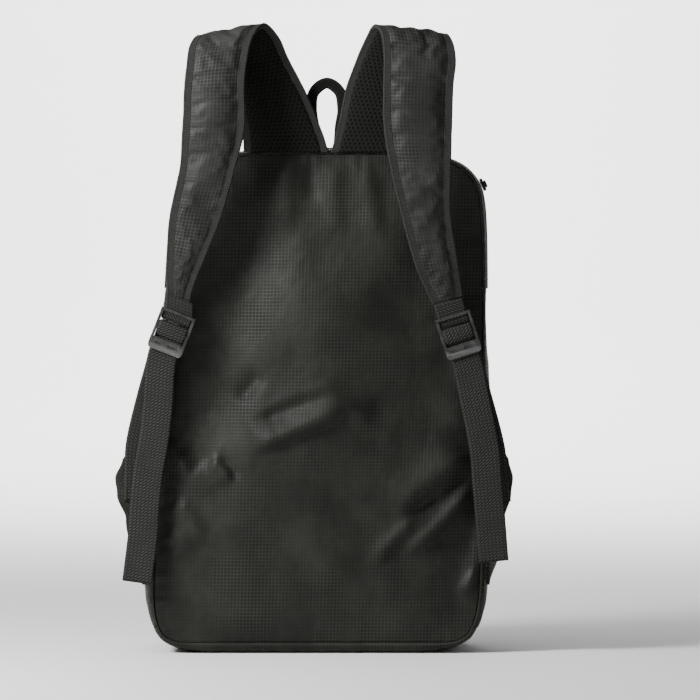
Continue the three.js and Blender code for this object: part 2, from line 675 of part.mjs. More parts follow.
function buckleGeometry() {
  const inner = webbingWide / 2 + gap;
  const bite = buckleRail / 2;
  const rail = sideView(railForm, buckleBack);
  const topBar = boxProfile(buckleFront - topBarThick / 2, buckleTop - topBarHigh / 2,
    topBarThick / 2, topBarHigh / 2);
  const gripHalf = gripBarThick / 2;
  const gripTop = gripBar.up + gripBarHigh / 2;
  const gripFoot = gripBar.up - gripBarHigh / 2;
  const grip = [
    [-gripHalf, gripFoot + gripRound], [0, gripFoot], [gripHalf, gripFoot + gripRound],
    [gripHalf, gripTop - gripRound], [0, gripTop], [-gripHalf, gripTop - gripRound],
  ];
  let solid = toManifold(crossBar(rail, inner, inner + buckleRail));
  const parts = [
    crossBar(rail, -inner - buckleRail, -inner),
    crossBar(topBar, -inner - bite, inner + bite),
    crossBar(roundProfile(hangBar.out, hangBar.up, hangBarRadius, barSides), -inner - bite, inner + bite),
    crossBar(grip, -inner - bite, inner + bite),
    crossBar(sideView(lipForm, lipBack), -inner - bite, inner + bite),
  ];
  for (const part of parts) solid = solid.add(toManifold(part));
  for (const side of [-1, 1]) {
    const recess = new THREE.BoxGeometry(recessWide, recessHigh, recessDeep * 2);
    recess.translate(side * recessAside, lipTop - recessDown, buckleFront);
    solid = solid.subtract(toManifold(recess));
  }
  const face = new THREE.Shape();
  const r = buckleCorner;
  face.moveTo(-buckleHalf, buckleTop);
  face.lineTo(-buckleHalf, -buckleTop + r);
  face.quadraticCurveTo(-buckleHalf, -buckleTop, -buckleHalf + r, -buckleTop);
  face.lineTo(buckleHalf - r, -buckleTop);
  face.quadraticCurveTo(buckleHalf, -buckleTop, buckleHalf, -buckleTop + r);
  face.lineTo(buckleHalf, buckleTop);
  const deep = 2 * (buckleFront + buckleBack);
  const stretch = { depth: deep, bevelEnabled: false, curveSegments: cornerSteps };
  const whole = new THREE.ExtrudeGeometry(face, stretch);
  whole.translate(0, 0, -deep / 2);
  return fromManifold(solid.intersect(toManifold(whole)));
}

// The short webbing: doubled round its bar, then slanting to the strap's end
function shortWebbing(name) {
  const innerR = hangBarRadius + gap;
  const outerR = innerR + webbingThick;
  const top = buckleTop + webbingShown - webbingEndGap;
  const { slant, tilt } = buckleFrames[name];
  const stations = [
    { angle: Math.PI, up: top },
    { angle: Math.PI, up: buckleTop },
    ...span(turnSteps).map((t) => ({ angle: Math.PI * (1 + t), up: hangBar.up })),
    { angle: Math.PI * 2, up: buckleTop },
    { angle: Math.PI * 2, up: top },
  ];
  return loft(stations.map(({ angle, up }) => {
    const above = Math.max(0, up - buckleTop);
    const corner = (side, radius) => new THREE.Vector3(
      above * slant + side * webbingWide / 2,
      up + radius * Math.sin(angle) + (side * tilt * webbingWide * above) / (2 * webbingShown),
      hangBar.out + radius * Math.cos(angle),
    );
    return [corner(-1, outerR), corner(1, outerR), corner(1, innerR), corner(-1, innerR)];
  }));
}

// The long webbing: flat sections along a route
function flatWebbing(stations) {
  const route = new THREE.CatmullRomCurve3(stations.map((s) => s.at), false, 'centripetal');
  const rings = stations.map((s, i) => {
    const way = route.getTangent(i / (stations.length - 1));
    const turn = radians(s.turn);
    const across = new THREE.Vector3(Math.cos(turn), 0, Math.sin(turn));
    const out = new THREE.Vector3().crossVectors(across, way).normalize().multiplyScalar(webbingThick / 2);
    across.multiplyScalar(webbingWide / 2);
    return [[-1, -1], [1, -1], [1, 1], [-1, 1]].map(([a, b]) => (
      s.at.clone().addScaledVector(across, a).addScaledVector(out, b)));
  });
  return loft(rings);
}

function adjusterWebbing(name) {
  const { sign, tail, wingReach, buckleLean } = sides[name];
  const frame = buckleFrames[name];
  const inBuckle = (up, out) => ({ at: buckleToBag(frame, 0, up, out), turn: sign * buckleLean });
  const clear = gripBarThick / 2 + gap + webbingThick / 2;
  const bottom = buckleToBag(frame, 0, -buckleTop, 0);
  const behindLip = -lipBack - gap - webbingThick / 2;
  const behindTail = behindLip - gap - webbingThick;
  const anchor = wingPoint(name, sewnUp, sewnOut);
  anchor.y = wingPoint(name, sewnUp, 1).y - wingThick / 2 - gap - webbingThick / 2;
  const runTop = buckleToBag(frame, 0, -buckleTop, behindTail);
  const run = runRows.map((row) => ({
    at: anchor.clone().lerp(runTop, row.rise).add(new THREE.Vector3(sign * row.bow * wingReach, 0, 0)),
    turn: sign * row.turn,
  }));
  const turnCentre = gripBar.up + gripBarHigh / 2 + gap + webbingThick / 2 - clear;
  const loop = span(turnSteps).map((t) => {
    const angle = mix(Math.PI, 0, t);
    return inBuckle(turnCentre + clear * Math.sin(angle), clear * Math.cos(angle));
  });
  const hang = tailRows[name].map((row) => ({
    at: new THREE.Vector3(
      bottom.x + sign * row.outward * tail,
      bottom.y - behindLip + row.down * tailBack,
      bottom.z - row.down * tail,
    ),
    turn: sign * row.turn,
  }));
  const gripFoot = gripBar.up - gripBarHigh / 2;
  return flatWebbing([
    ...run,
    inBuckle(-buckleTop, behindTail),
    inBuckle(lipTop, behindTail),
    inBuckle(gripFoot, -clear),
    ...loop,
    inBuckle(gripFoot + gripRound, clear),
    inBuckle(mix(gripFoot, lipTop, 0.5), mix(behindLip, clear, 0.6)),
    inBuckle(lipTop - gap * 2, behindLip),
    inBuckle(-buckleTop, behindLip),
    ...hang,
  ]);
}

// Wing tabs, sewn into the side seams. up runs along the seam, reach out from it.
function wingPoint(name, up, reach) {
  const { sign, wingReach } = sides[name];
  const along = mix(wingLow, wingHigh, up);
  const at = edge(along, sign);
  const across = wingBehind / depthAt(at.z);
  const root = edgeWall(along, sign, across).addScaledVector(edgeWallOut(along, sign, across), cloth + gap);
  const far = readTable(wingRows, 'up', up, 'reach') * wingReach;
  const forward = wingForward * smooth((far * reach) / wingBend);
  return new THREE.Vector3(root.x + sign * far * reach, root.y - forward, root.z);
}

function wingTab(name) {
  const faceAt = (lift) => span(wingUpSteps).map((up) => (
    span(wingOutSteps).map((reach) => wingPoint(name, up, reach).add(new THREE.Vector3(0, lift, 0)))));
  return wall(faceAt(-wingThick / 2), faceAt(wingThick / 2));
}

// The zipper's tape follows the wall, and its raised coil stands square on the middle of it
function zipSection({ along, side }, points) {
  const depth = depthAt(edge(along, side).z);
  const middle = edgeWall(along, side, zipPlace);
  const out = edgeWallOut(along, side, zipPlace);
  return points.map(([across, lift]) => {
    const foot = Math.abs(across) > coilWide / 2
      ? edgeWall(along, side, zipPlace + across / depth)
      : middle.clone().add(new THREE.Vector3(0, across, 0));
    return foot.addScaledVector(out, lift);
  });
}

function zipperGeometry() {
  const half = zipWide / 2 - gap;
  const coil = coilWide / 2;
  const section = [
    [-half, 0], [half, 0], [half, cloth], [coil, cloth], [coil * 0.6, cloth + coilHigh],
    [-coil * 0.6, cloth + coilHigh], [-coil, cloth], [-half, cloth],
  ];
  return loft(overWay.map((place) => zipSection(place, section)));
}

function sliderGeometry() {
  const half = (side) => sliderForm.map(({ long, wide }) => (
    new THREE.Vector2(long * sliderLong, side * wide * sliderWide)));
  const body = new THREE.Shape([...half(-1), ...half(1).reverse()]);
  const plate = new THREE.ExtrudeGeometry(body, { depth: sliderHigh, bevelEnabled: false });
  const pull = new THREE.BoxGeometry(pullWide, pullLong, pullThick);
  pull.translate(0, pullLong / 2 - bridgeWide / 2, sliderHigh + pullThick);
  const bridge = new THREE.BoxGeometry(bridgeLong, bridgeWide, pullThick * 2);
  bridge.translate(0, 0, sliderHigh + pullThick / 2);
  return fromManifold(toManifold(plate).add(toManifold(pull)).add(toManifold(bridge)));
}

function loopGeometry() {
  const foot = edgeWall(1, 1, loopBehind / depthTop);
  const base = foot.z + cloth + gap * 2;
  const high = baseDrop + backHeight + loopHigh - base;
  const route = new THREE.CatmullRomCurve3(loopRows.map(({ side, up }) => (
    new THREE.Vector3(lean - loopAside + side * loopHalf, foot.y, base + up * high))));
  const swell = 1 / Math.cos(Math.PI / loopSides) / 2;
  const section = new THREE.Shape(span(loopSides - 1).map((_, i) => {
    const angle = (Math.PI * 2 * (i + 0.5)) / loopSides;
    return new THREE.Vector2(Math.cos(angle) * loopBand * swell, Math.sin(angle) * loopThick * swell);
  }));
  return new THREE.ExtrudeGeometry(section, { steps: loopSteps, extrudePath: route, bevelEnabled: false });
}

// The shell
add('back_panel', panel(-1, backCrown, folds, () => 0, backColumns), ripstop());
add('front_panel', panel(1, frontCrown, frontFolds, depthAt, frontColumns), ripstop());
add('base_panel', edgePiece(underWay, underStops), ripstop());
for (const [name, { sign }] of Object.entries(sides)) {
  const stops = [sideStart + seamStep, ...sideStops.slice(1, -1), zipEnd - seamStep];
  add(`side_gusset_${name}`, edgePiece(stops.map(onSide(sign)), sideDepthStops), ripstop());
}
const zipHalfShare = zipWide / 2 / depthTop;
const backStops = span(gussetSteps).map((t) => t * (zipPlace - zipHalfShare));
const frontStops = span(gussetSteps).map((t) => mix(zipPlace + zipHalfShare, 1, t));
add('top_gusset_back', edgePiece(overWay, backStops), ripstop());
add('top_gusset_front', edgePiece(overWay, frontStops), ripstop());
add('zipper', zipperGeometry(), tape());

const sliderAt = mix(zipEnd, topCorner, sliderShare);
const sliderSeat = new THREE.Group();
const sliderOut = edgeWallOut(sliderAt, 1, zipPlace);
const sliderFoot = edgeWall(sliderAt, 1, zipPlace).addScaledVector(sliderOut, cloth + coilHigh + gap);
sliderSeat.position.copy(sliderFoot);
const sliderWay = new THREE.Vector3().crossVectors(new THREE.Vector3(0, 1, 0), sliderOut).normalize();
sliderSeat.setRotationFromMatrix(
  new THREE.Matrix4().makeBasis(sliderWay, new THREE.Vector3().crossVectors(sliderOut, sliderWay), sliderOut),
);
bag.add(sliderSeat);
add('zipper_slider', sliderGeometry(), plastic(), sliderSeat);
add('grab_loop', loopGeometry(), paleRipstop());

// The straps, buckles, webbing and wing tabs
const buckleShape = buckleGeometry();
for (const name of Object.keys(sides)) {
  strapCurves[name] = strapCurvesOf(name);
  buckleFrames[name] = buckleFrameOf(name);
  add(`strap_pad_${name}`, strapPad(name), paleRipstop());
  add(`strap_mesh_${name}`, strapLining(name), airMesh());
  add(`strap_binding_inner_${name}`, strapBinding(name, 'inner'), tape());
  add(`strap_binding_outer_${name}`, strapBinding(name, 'outer'), tape());

  const seat = new THREE.Group();
  seat.position.copy(buckleFrames[name].middle);
  seat.rotation.x = Math.PI / 2;
  const leaning = new THREE.Group();
  leaning.rotation.z = buckleFrames[name].turn;
  seat.add(leaning);
  bag.add(seat);
  add(`ladder_lock_${name}`, buckleShape.clone(), plastic(), leaning);
  add(`strap_webbing_${name}`, shortWebbing(name), webbing(), leaning);

  add(`adjuster_webbing_${name}`, adjusterWebbing(name), webbing());
  add(`wing_tab_${name}`, wingTab(name), ripstop());
}

// The origin is on the floor below the middle of the whole
const box = new THREE.Box3().setFromObject(bag, true);
bag.position.set(-(box.min.x + box.max.x) / 2, -(box.min.y + box.max.y) / 2, -box.min.z);

export default bag;
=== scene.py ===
import math

import bmesh
import bpy
import numpy as np
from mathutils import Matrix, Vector, noise


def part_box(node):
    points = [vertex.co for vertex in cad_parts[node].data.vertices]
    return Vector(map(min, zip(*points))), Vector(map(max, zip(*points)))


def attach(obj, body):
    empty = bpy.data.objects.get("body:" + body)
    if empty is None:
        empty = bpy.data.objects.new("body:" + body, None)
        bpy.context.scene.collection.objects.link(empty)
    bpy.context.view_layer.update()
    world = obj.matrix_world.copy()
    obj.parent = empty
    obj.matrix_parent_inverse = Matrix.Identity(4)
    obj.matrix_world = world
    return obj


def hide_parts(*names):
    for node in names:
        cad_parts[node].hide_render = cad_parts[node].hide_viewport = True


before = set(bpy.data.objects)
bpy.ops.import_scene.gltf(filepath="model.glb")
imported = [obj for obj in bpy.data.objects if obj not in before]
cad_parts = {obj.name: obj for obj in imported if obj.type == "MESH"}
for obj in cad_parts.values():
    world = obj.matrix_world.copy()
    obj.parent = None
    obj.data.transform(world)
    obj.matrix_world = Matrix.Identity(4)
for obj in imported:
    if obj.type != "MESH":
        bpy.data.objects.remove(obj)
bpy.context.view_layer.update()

# The packable backpack's cloth, straps, webbing and buckles, dressed on the built frame.
# Tables and functions are in millimetres; a mesh gets its metres when it is made.
METRE = 0.001

# Sizes of the bag, as built
BACK_HEIGHT = 411
HALF_WIDTH = 137
BASE_DROP = 9
LEAN = 12.6
DEPTH_BASE = 138
DEPTH_TOP = 92
CLOTH = 1.2
GAP = 0.3
BACK_CROWN = 13
FRONT_CROWN = 26
SIDE_SWELL = 9
ZIP_WIDE = 11
ZIP_PLACE = 0.42
ZIP_END = 0.66
COIL_WIDE = 5
COIL_HIGH = 1.8
LOOP_HALF = 13.6
LOOP_HIGH = 59.5
LOOP_ASIDE = 2.6
LOOP_BAND = 9.4
LOOP_THICK = 4
LOOP_BEHIND = 5.4

# Sizes of the straps, as built
STRAP_RISE = 101
STRAP_STAND = 40
STRAP_WIDE = 58
PAD_THICK = 7
STRAP_EDGE_THICK = 3.2
BINDING_WIDE = 7.5
LINING_THICK = 1
END_PINCH = 0.36
ROOT_SEWN = 0.12
END_SEWN = 0.1
PAD_GAP = 0.5
FOLD_GAP = 0.5
WEBBING_WIDE = 25
WEBBING_THICK = 1.2

# Sizes of the buckles and wing tabs, as built
BUCKLE_HIGH = 36
HANG_BAR_RADIUS = 1.2
HANG_BAR_DOWN = 6.4
HANG_BAR_BEHIND = 1.2
GRIP_BAR_HIGH = 7.4
GRIP_BAR_THICK = 2.4
GRIP_BAR_DOWN = 15.1
GRIP_ROUND = 1
LIP_DOWN = 25
LIP_BACK = 0.4
WEBBING_SHOWN = 13
WEBBING_END_GAP = 1.4
TAIL_BACK = 3
WING_LOW = 0.27
WING_HIGH = 0.45
WING_THICK = 1.5
WING_BEHIND = 5
WING_FORWARD = 5.8
WING_BEND = 12
SEWN_UP = 0.62
SEWN_OUT = 0.5

# Places along the half outline, as built
LOW_CORNER = 0.165
SIDE_START = 0.215
TOP_CORNER = 0.905
SLIDER_SHARE = 0.543

# Soft relief of the dressed panels, rise and size of each kind, and how they round off at a seam
SWELL_RISE, SWELL_SIZE = 2.4, 58
RUMPLE_RISE, RUMPLE_SIZE = 0.5, 21
DRAWN_RISE, DRAWN_SIZE = 0.8, 24
CRUMPLE_RISE, CRUMPLE_SIZE = 0.28, 11
EDGE_ROUND, EDGE_DROP = 2.2, 0.5

# Other sizes of the looks alone
TUCK = 2.4  # how far the pad and the lining run in under the bound edge
SIDES_APART = 400  # how far on in the noise the right seam's puckers are, so that they differ
TOOTH_PITCH = 1.35


def table(columns, *rows):
    """Rows of numbers under named columns."""
    return {name: np.array([row[i] for row in rows], float) for i, name in enumerate(columns.split())}


OUTLINE = table(
    "across up",
    (0, 0), (0.3, 0), (0.6, 0), (0.78, 0), (0.86, 0.003), (0.925, 0.014), (0.965, 0.036), (0.99, 0.07),
    (1, 0.12), (1, 0.235), (0.99, 0.395), (0.98, 0.538), (0.965, 0.7), (0.95, 0.824), (0.93, 0.9),
    (0.895, 0.938), (0.83, 0.964), (0.74, 0.98), (0.6, 0.991), (0.42, 0.999), (0.2, 1), (0, 1),
)
EDGE_FORM = table(
    "along swell flat size",
    (0, 1, 0.84, BASE_DROP - CLOTH), (0.135, 1, 0.84, BASE_DROP - CLOTH), (0.2, 0.5, 0.7, BASE_DROP - CLOTH),
    (0.27, 0.85, 0.35, SIDE_SWELL), (0.36, 1, 0.2, SIDE_SWELL), (0.5, 0.6, 0.2, SIDE_SWELL),
    (0.62, 0.3, 0.2, SIDE_SWELL), (0.8, 0.3, 0.2, SIDE_SWELL), (1, 0.4, 0.2, SIDE_SWELL),
)

# Folds of the back panel, each along a bent line: a ridge or, with a negative rise, a valley. Its
# start, middle and end are shares of HALF_WIDTH and BACK_HEIGHT, rise of BACK_CROWN. steep and
# gentle are its reach on the left and right of the way along it, shares of HALF_WIDTH.
FOLDS = table(
    "across up by_across by_up to_across to_up rise steep gentle",
    (0.22, 0.5, -0.134, 0.439, -0.505, 0.394, 0.72, 0.042, 0.16),
    (-0.436, 0.435, -0.211, 0.486, 0.175, 0.512, -0.44, 0.034, 0.1),
    (-0.685, 0.375, -0.599, 0.365, -0.535, 0.322, 0.34, 0.02, 0.08),
    (-0.637, 0.383, -0.551, 0.369, -0.499, 0.328, -0.2, 0.032, 0.029),
    (-0.956, 0.422, -0.879, 0.373, -0.791, 0.347, 0.32, 0.045, 0.036),
    (-0.847, 0.422, -0.759, 0.389, -0.695, 0.353, -0.27, 0.077, 0.066),
    (-0.896, 0.295, -0.784, 0.267, -0.693, 0.193, 0.32, 0.051, 0.08),
    (-0.961, 0.209, -0.865, 0.23, -0.776, 0.177, 0.23, 0.058, 0.066),
    (0.924, 0.402, 0.675, 0.336, 0.416, 0.263, 0.61, 0.039, 0.146),
    (0.952, 0.361, 0.726, 0.308, 0.514, 0.25, -0.23, 0.045, 0.051),
    (0.942, 0.336, 0.817, 0.246, 0.484, 0.173, 0.49, 0.029, 0.066),
    (0.609, 0.267, 0.48, 0.218, 0.316, 0.156, 0.34, 0.039, 0.058),
    (0.855, 0.353, 0.773, 0.324, 0.704, 0.291, 0.17, 0.026, 0.036),
    (0.879, 0.095, 0.949, 0.132, 1.03, 0.164, 0.28, 0.045, 0.029),
    (0.09, 0.86, -0.03, 0.5, -0.17, 0.24, 0.55, 0.34, 0.4),
    (0.209, 0.005, 0.206, 0.168, 0.104, 0.353, -0.23, 0.142, 0.19),
    (-0.363, 0.557, -0.445, 0.529, -0.514, 0.488, -0.34, 0.046, 0.06),
    (0.039, 0.995, 0.029, 0.905, 0.062, 0.811, 0.15, 0.051, 0.066),
    (-0.245, 0.995, -0.275, 0.926, -0.243, 0.84, 0.2, 0.058, 0.08),
    (0.216, 0.987, 0.272, 0.905, 0.291, 0.823, 0.2, 0.058, 0.073),
    (-0.414, 0.987, -0.446, 0.934, -0.404, 0.877, 0.15, 0.051, 0.058),
    (-0.112, 0.995, -0.12, 0.946, -0.09, 0.885, -0.15, 0.045, 0.051),
    (0.178, 0.471, 0.47, 0.463, 0.842, 0.5, -0.38, 0.128, 0.175),
    (0.178, 0.471, 0.302, 0.447, 0.5, 0.402, 0.17, 0.058, 0.058),
    (-0.109, 0.168, 0.212, 0.107, 0.621, 0.14, 0.2, 0.09, 0.131),
    (0.342, 0.005, 0.688, 0.066, 0.928, 0.087, 0.17, 0.09, 0.088),
    (-0.768, 0.087, -0.521, 0.046, -0.158, 0.05, 0.15, 0.077, 0.102),
    (-0.38, 0.92, -0.52, 0.69, -0.76, 0.32, -0.55, 0.18, 0.16),
    (-0.78, 0.92, -0.89, 0.67, -0.93, 0.42, 0.3, 0.12, 0.12),
    (0.55, 0.85, 0.68, 0.66, 0.78, 0.46, -0.45, 0.1, 0.27),
    (0.9, 0.27, 0.82, 0.14, 0.76, 0.03, -0.35, 0.1, 0.28),
)
FRONT_FOLDS = table(
    "across up to_across to_up rise wide",
    (-0.7, 0.62, 0.1, 0.55, -0.16, 0.12), (0.75, 0.45, 0.1, 0.3, -0.18, 0.12),
    (-0.8, 0.2, -0.3, 0.34, 0.12, 0.1),
)
FRONT_CREASES = table(
    "across up to_across to_up rise wide",
    (-0.95, 0.7, -0.6, 0.63, -0.06, 0.04), (0.93, 0.5, 0.6, 0.42, -0.07, 0.035),
    (0.9, 0.46, 0.58, 0.4, 0.05, 0.03), (-0.9, 0.22, -0.6, 0.27, 0.06, 0.035),
    (-0.5, 0.95, -0.4, 0.8, -0.05, 0.05), (0.3, 0.96, 0.36, 0.82, -0.05, 0.05),
    (0.95, 0.12, 0.7, 0.18, -0.06, 0.04), (-0.2, 0.06, 0.3, 0.1, 0.05, 0.05),
)

# Shoulder straps, as built, from the top seam to the buckle: their edges from the bag's middle in
# shares of HALF_WIDTH, up of STRAP_RISE above the top seam, tip of half STRAP_WIDE by which the inner
# edge is raised and the outer one lowered, and out of STRAP_STAND in front of the panel.
STRAP_ROWS = {
    "left": table(
        "inner outer up tip out",
        (0.006, 0.53, 0.0096, 0, 0.035), (0.05, 0.54, 0.1875, 0.03, 0.06),
        (0.144, 0.585, 0.4738, 0.1, 0.14), (0.245, 0.662, 0.7214, 0.15, 0.26),
        (0.306, 0.722, 0.8917, 0.18, 0.42), (0.385, 0.8, 1, 0.18, 0.64), (0.46, 0.855, 0.9071, 0.16, 0.86),
        (0.5, 0.871, 0.7163, 0.1, 0.97), (0.515, 0.885, 0.51, 0.04, 1), (0.514, 0.895, 0.1953, 0, 0.98),
        (0.578, 0.915, -0.1606, -0.04, 0.92), (0.66, 0.972, -0.5269, -0.07, 0.82),
        (0.754, 0.994, -0.8364, -0.1, 0.68), (0.83, 0.997, -1.084, -0.12, 0.55),
        (0.853, 0.99, -1.2078, -0.14, 0.48),
    ),
    "right": table(
        "inner outer up tip out",
        (0.006, 0.46, 0.0096, 0, 0.035), (0.05, 0.485, 0.2262, 0.03, 0.06),
        (0.095, 0.545, 0.51, 0.08, 0.14), (0.16, 0.61, 0.7472, 0.1, 0.26),
        (0.215, 0.665, 0.902, 0.12, 0.42), (0.265, 0.712, 1, 0.14, 0.64),
        (0.312, 0.752, 0.9226, 0.14, 0.86), (0.325, 0.765, 0.7421, 0.08, 0.97),
        (0.322, 0.75, 0.51, 0.02, 1), (0.327, 0.743, 0.1953, 0, 0.98), (0.365, 0.736, -0.1194, -0.02, 0.92),
        (0.436, 0.736, -0.5166, -0.05, 0.82), (0.514, 0.776, -0.8983, -0.08, 0.68),
        (0.574, 0.797, -1.084, -0.1, 0.55), (0.625, 0.812, -1.2233, -0.12, 0.48),
    ),
}

# Each side's buckle lean in degrees, its shift inwards, and the lengths of its tail and wing tab
SIDES = {
    "left": {"sign": -1, "lean": 21.5, "inwards": 5, "tail": 192, "wing": 31},
    "right": {"sign": 1, "lean": 18, "inwards": 0.4, "tail": 172, "wing": 21},
}

# Hanging webbing below the buckle: down and outward are shares of the tail, turn is in degrees
TAIL_ROWS = {
    "left": table(
        "down outward turn",
        (0.06, 0.012, 14), (0.213, 0.022, 7), (0.379, 0.041, 8), (0.523, 0.066, 9),
        (0.659, 0.081, 5), (0.773, 0.088, 4), (1, 0.115, 8),
    ),
    "right": table(
        "down outward turn",
        (0.06, 0.016, 15), (0.202, 0.044, 12), (0.33, 0.071, 11), (0.461, 0.094, 8),
        (0.633, 0.108, 5), (0.794, 0.122, 5), (1, 0.138, 6),
    ),
}

# Webbing from the wing tab up to the buckle: share of the rise, bow in shares of the tab, turn
RUN_ROWS = table(
    "rise bow turn",
    (0, -0.12, -7), (0.18, 0, -2), (0.37, 0.12, 8), (0.7, 0.08, 16), (0.9, 0.02, 19),
)

# Outline of a wing tab: share of its height and of its reach
WING_ROWS = table(
    "up reach",
    (0, 0.16), (0.25, 0.5), (0.47, 0.64), (0.66, 0.92), (0.78, 1), (0.9, 0.85), (1, 0.6),
)

# Grab loop: aside in shares of LOOP_HALF, up in shares of its height
LOOP_ROWS = table(
    "side up",
    (-0.7, 0), (-0.78, 0.3), (-0.96, 0.62), (-0.78, 0.87), (0, 1), (0.78, 0.87), (0.98, 0.62),
    (0.82, 0.3), (0.74, 0),
)

# How finely the dressed surfaces are divided
PANEL_ROWS = 190
PANEL_COLUMNS = 150
WALL_PLACES = 150
WALL_STOPS = 46
STRAP_ROWS_FINE = 170
STRAP_COLUMNS = 20


# Numbers
def mix(a, b, t):
    """From a to b, by share t."""
    return a + (b - a) * t


def smooth(t):
    """An eased step from 0 to 1 as t goes from 0 to 1."""
    t = np.clip(t, 0, 1)
    return t * t * (3 - 2 * t)


def read_table(rows, key, at, column):
    """A column of the table where its key column has these values, eased between rows."""
    keys = rows[key]
    i = np.clip(np.searchsorted(keys, at), 1, len(keys) - 1)
    share = smooth((at - keys[i - 1]) / (keys[i] - keys[i - 1]))
    return mix(rows[column][i - 1], rows[column][i], share)


def unit(v):
    return v / np.maximum(np.linalg.norm(v, axis=-1, keepdims=True), 1e-12)


def vec(*parts):
    """The parts as coordinates side by side, brought to one shape."""
    return np.stack(np.broadcast_arrays(*[np.asarray(p, float) for p in parts]), axis=-1)


def waves(points, size, seed):
    """Soft noise from -1 to 1 over points in millimetres, in swells about size across."""
    flat = np.asarray(points, float).reshape(-1, 3) / size + seed * 7.3
    return np.array([noise.noise(Vector(p)) for p in flat]).reshape(np.shape(points)[:-1])


def creased(points, size, seed):
    """Sharp creases round soft cells, from -1 to 1."""
    return 1 - 2 * np.abs(waves(points, size, seed))


# Curves
def between(a, b, leave, arrive, w):
    """A cubic from a to b with these slopes, at shares w."""
    bend = -3 * a + 3 * b - 2 * leave - arrive
    return a + leave * w + bend * w**2 + (2 * a - 2 * b + leave + arrive) * w**3


def travelled(line):
    """The way along a line of points up to each of them."""
    return np.concatenate([[0], np.cumsum(np.linalg.norm(np.diff(line, axis=0), axis=1))])


def curve_through(points, t, ends="held"):
    """A uniform Catmull-Rom curve at shares t. Its ends are held, or run on straight."""
    points = np.asarray(points, float)
    last = len(points) - 1
    place = np.clip(t, 0, 1) * last
    i = np.minimum(place.astype(int), last - 1)
    w = (place - i)[..., None]
    if ends == "held":
        before, after = points[np.maximum(i - 1, 0)], points[np.minimum(i + 2, last)]
    else:
        longer = np.vstack([2 * points[0] - points[1], points, 2 * points[-1] - points[-2]])
        before, after = longer[i], longer[i + 3]
    a, b = points[i], points[i + 1]
    leave, arrive = (b - before) / 2, (after - a) / 2
    return between(a, b, leave, arrive, w)


def route_through(points, each):
    """A centripetal curve through the points, each stretch divided in as many steps."""
    points = np.asarray(points, float)
    longer = np.vstack([2 * points[0] - points[1], points, 2 * points[-1] - points[-2]])
    gaps = np.sqrt(np.maximum(np.linalg.norm(np.diff(longer, axis=0), axis=1), 1e-6))
    w = (np.arange(each) / each)[:, None]
    out = []
    for i in range(len(points) - 1):
        p0, p1, p2, p3 = longer[i:i + 4]
        d0, d1, d2 = gaps[i:i + 3]
        leave = ((p1 - p0) / d0 - (p2 - p0) / (d0 + d1) + (p2 - p1) / d1) * d1
        arrive = ((p2 - p1) / d1 - (p3 - p1) / (d1 + d2) + (p3 - p2) / d2) * d1
        out.append(between(p1, p2, leave, arrive, w))
    return np.vstack([*out, points[-1:]])


OUTLINE_POINTS = np.stack([OUTLINE["across"] * HALF_WIDTH, BASE_DROP + OUTLINE["up"] * BACK_HEIGHT], axis=1)
OUTLINE_STEPS = np.linspace(0, 1, 801)
OUTLINE_LENGTHS = travelled(curve_through(OUTLINE_POINTS, OUTLINE_STEPS))
HALF_LENGTH = OUTLINE_LENGTHS[-1]


def edge(along):
    """The seam's place and its way out, at shares of the half outline."""
    t = np.interp(np.clip(along, 0, 1) * HALF_LENGTH, OUTLINE_LENGTHS, OUTLINE_STEPS)
    at = curve_through(OUTLINE_POINTS, t)
    step = 0.0001
    way = unit(curve_through(OUTLINE_POINTS, t + step) - curve_through(OUTLINE_POINTS, t - step))
    return at[..., 0], at[..., 1], way[..., 1], -way[..., 0]


def lean_at(z):
    """How far the bag leans to the right at a height."""
    return LEAN * (z - BASE_DROP) / BACK_HEIGHT


def depth_at(z):
    return mix(DEPTH_BASE, DEPTH_TOP, smooth((z - BASE_DROP) / BACK_HEIGHT))


def edge_wall(along, side, across):
    """The inner face of the wall round the edge; across runs from the back seam to the front one."""
    x, z, out_x, out_z = edge(along)
    flat = read_table(EDGE_FORM, "along", along, "flat")
    size = read_table(EDGE_FORM, "along", along, "size") * read_table(EDGE_FORM, "along", along, "swell")
    past = np.maximum((np.abs(2 * across - 1) - flat) / (1 - flat), 0)
    swell = size * np.sqrt(np.maximum(0, 1 - past * past))
    z_out = z + out_z * swell
    return vec(side * (x + out_x * swell) + lean_at(z_out), across * depth_at(z), z_out)


def edge_wall_out(along, side, across):
    """The way out of the wall, square to its face."""
    step = 0.002
    around = edge_wall(np.minimum(along + step, 1), side, across)
    around = around - edge_wall(np.maximum(along - step, 0), side, across)
    through = edge_wall(along, side, np.minimum(across + step, 1))
    through = through - edge_wall(along, side, np.maximum(across - step, 0))
    return unit(np.cross(through, around) * np.asarray(side)[..., None])


def fold_rise(rows, x, z, size):
    """Straight folds, as the built panels have them."""
    rise = np.zeros_like(x)
    for a, b, c, d, height, wide in zip(*rows.values()):
        start = np.array([a * HALF_WIDTH, b * BACK_HEIGHT])
        way = np.array([c * HALF_WIDTH, d * BACK_HEIGHT]) - start
        at = np.stack([x, z], axis=-1) - start
        t = np.clip((at @ way) / (way @ way), 0, 1)
        away = np.linalg.norm(at - t[..., None] * way, axis=-1) / (wide * HALF_WIDTH)
        rise = rise + height * size * np.exp(-away * away)
    return rise


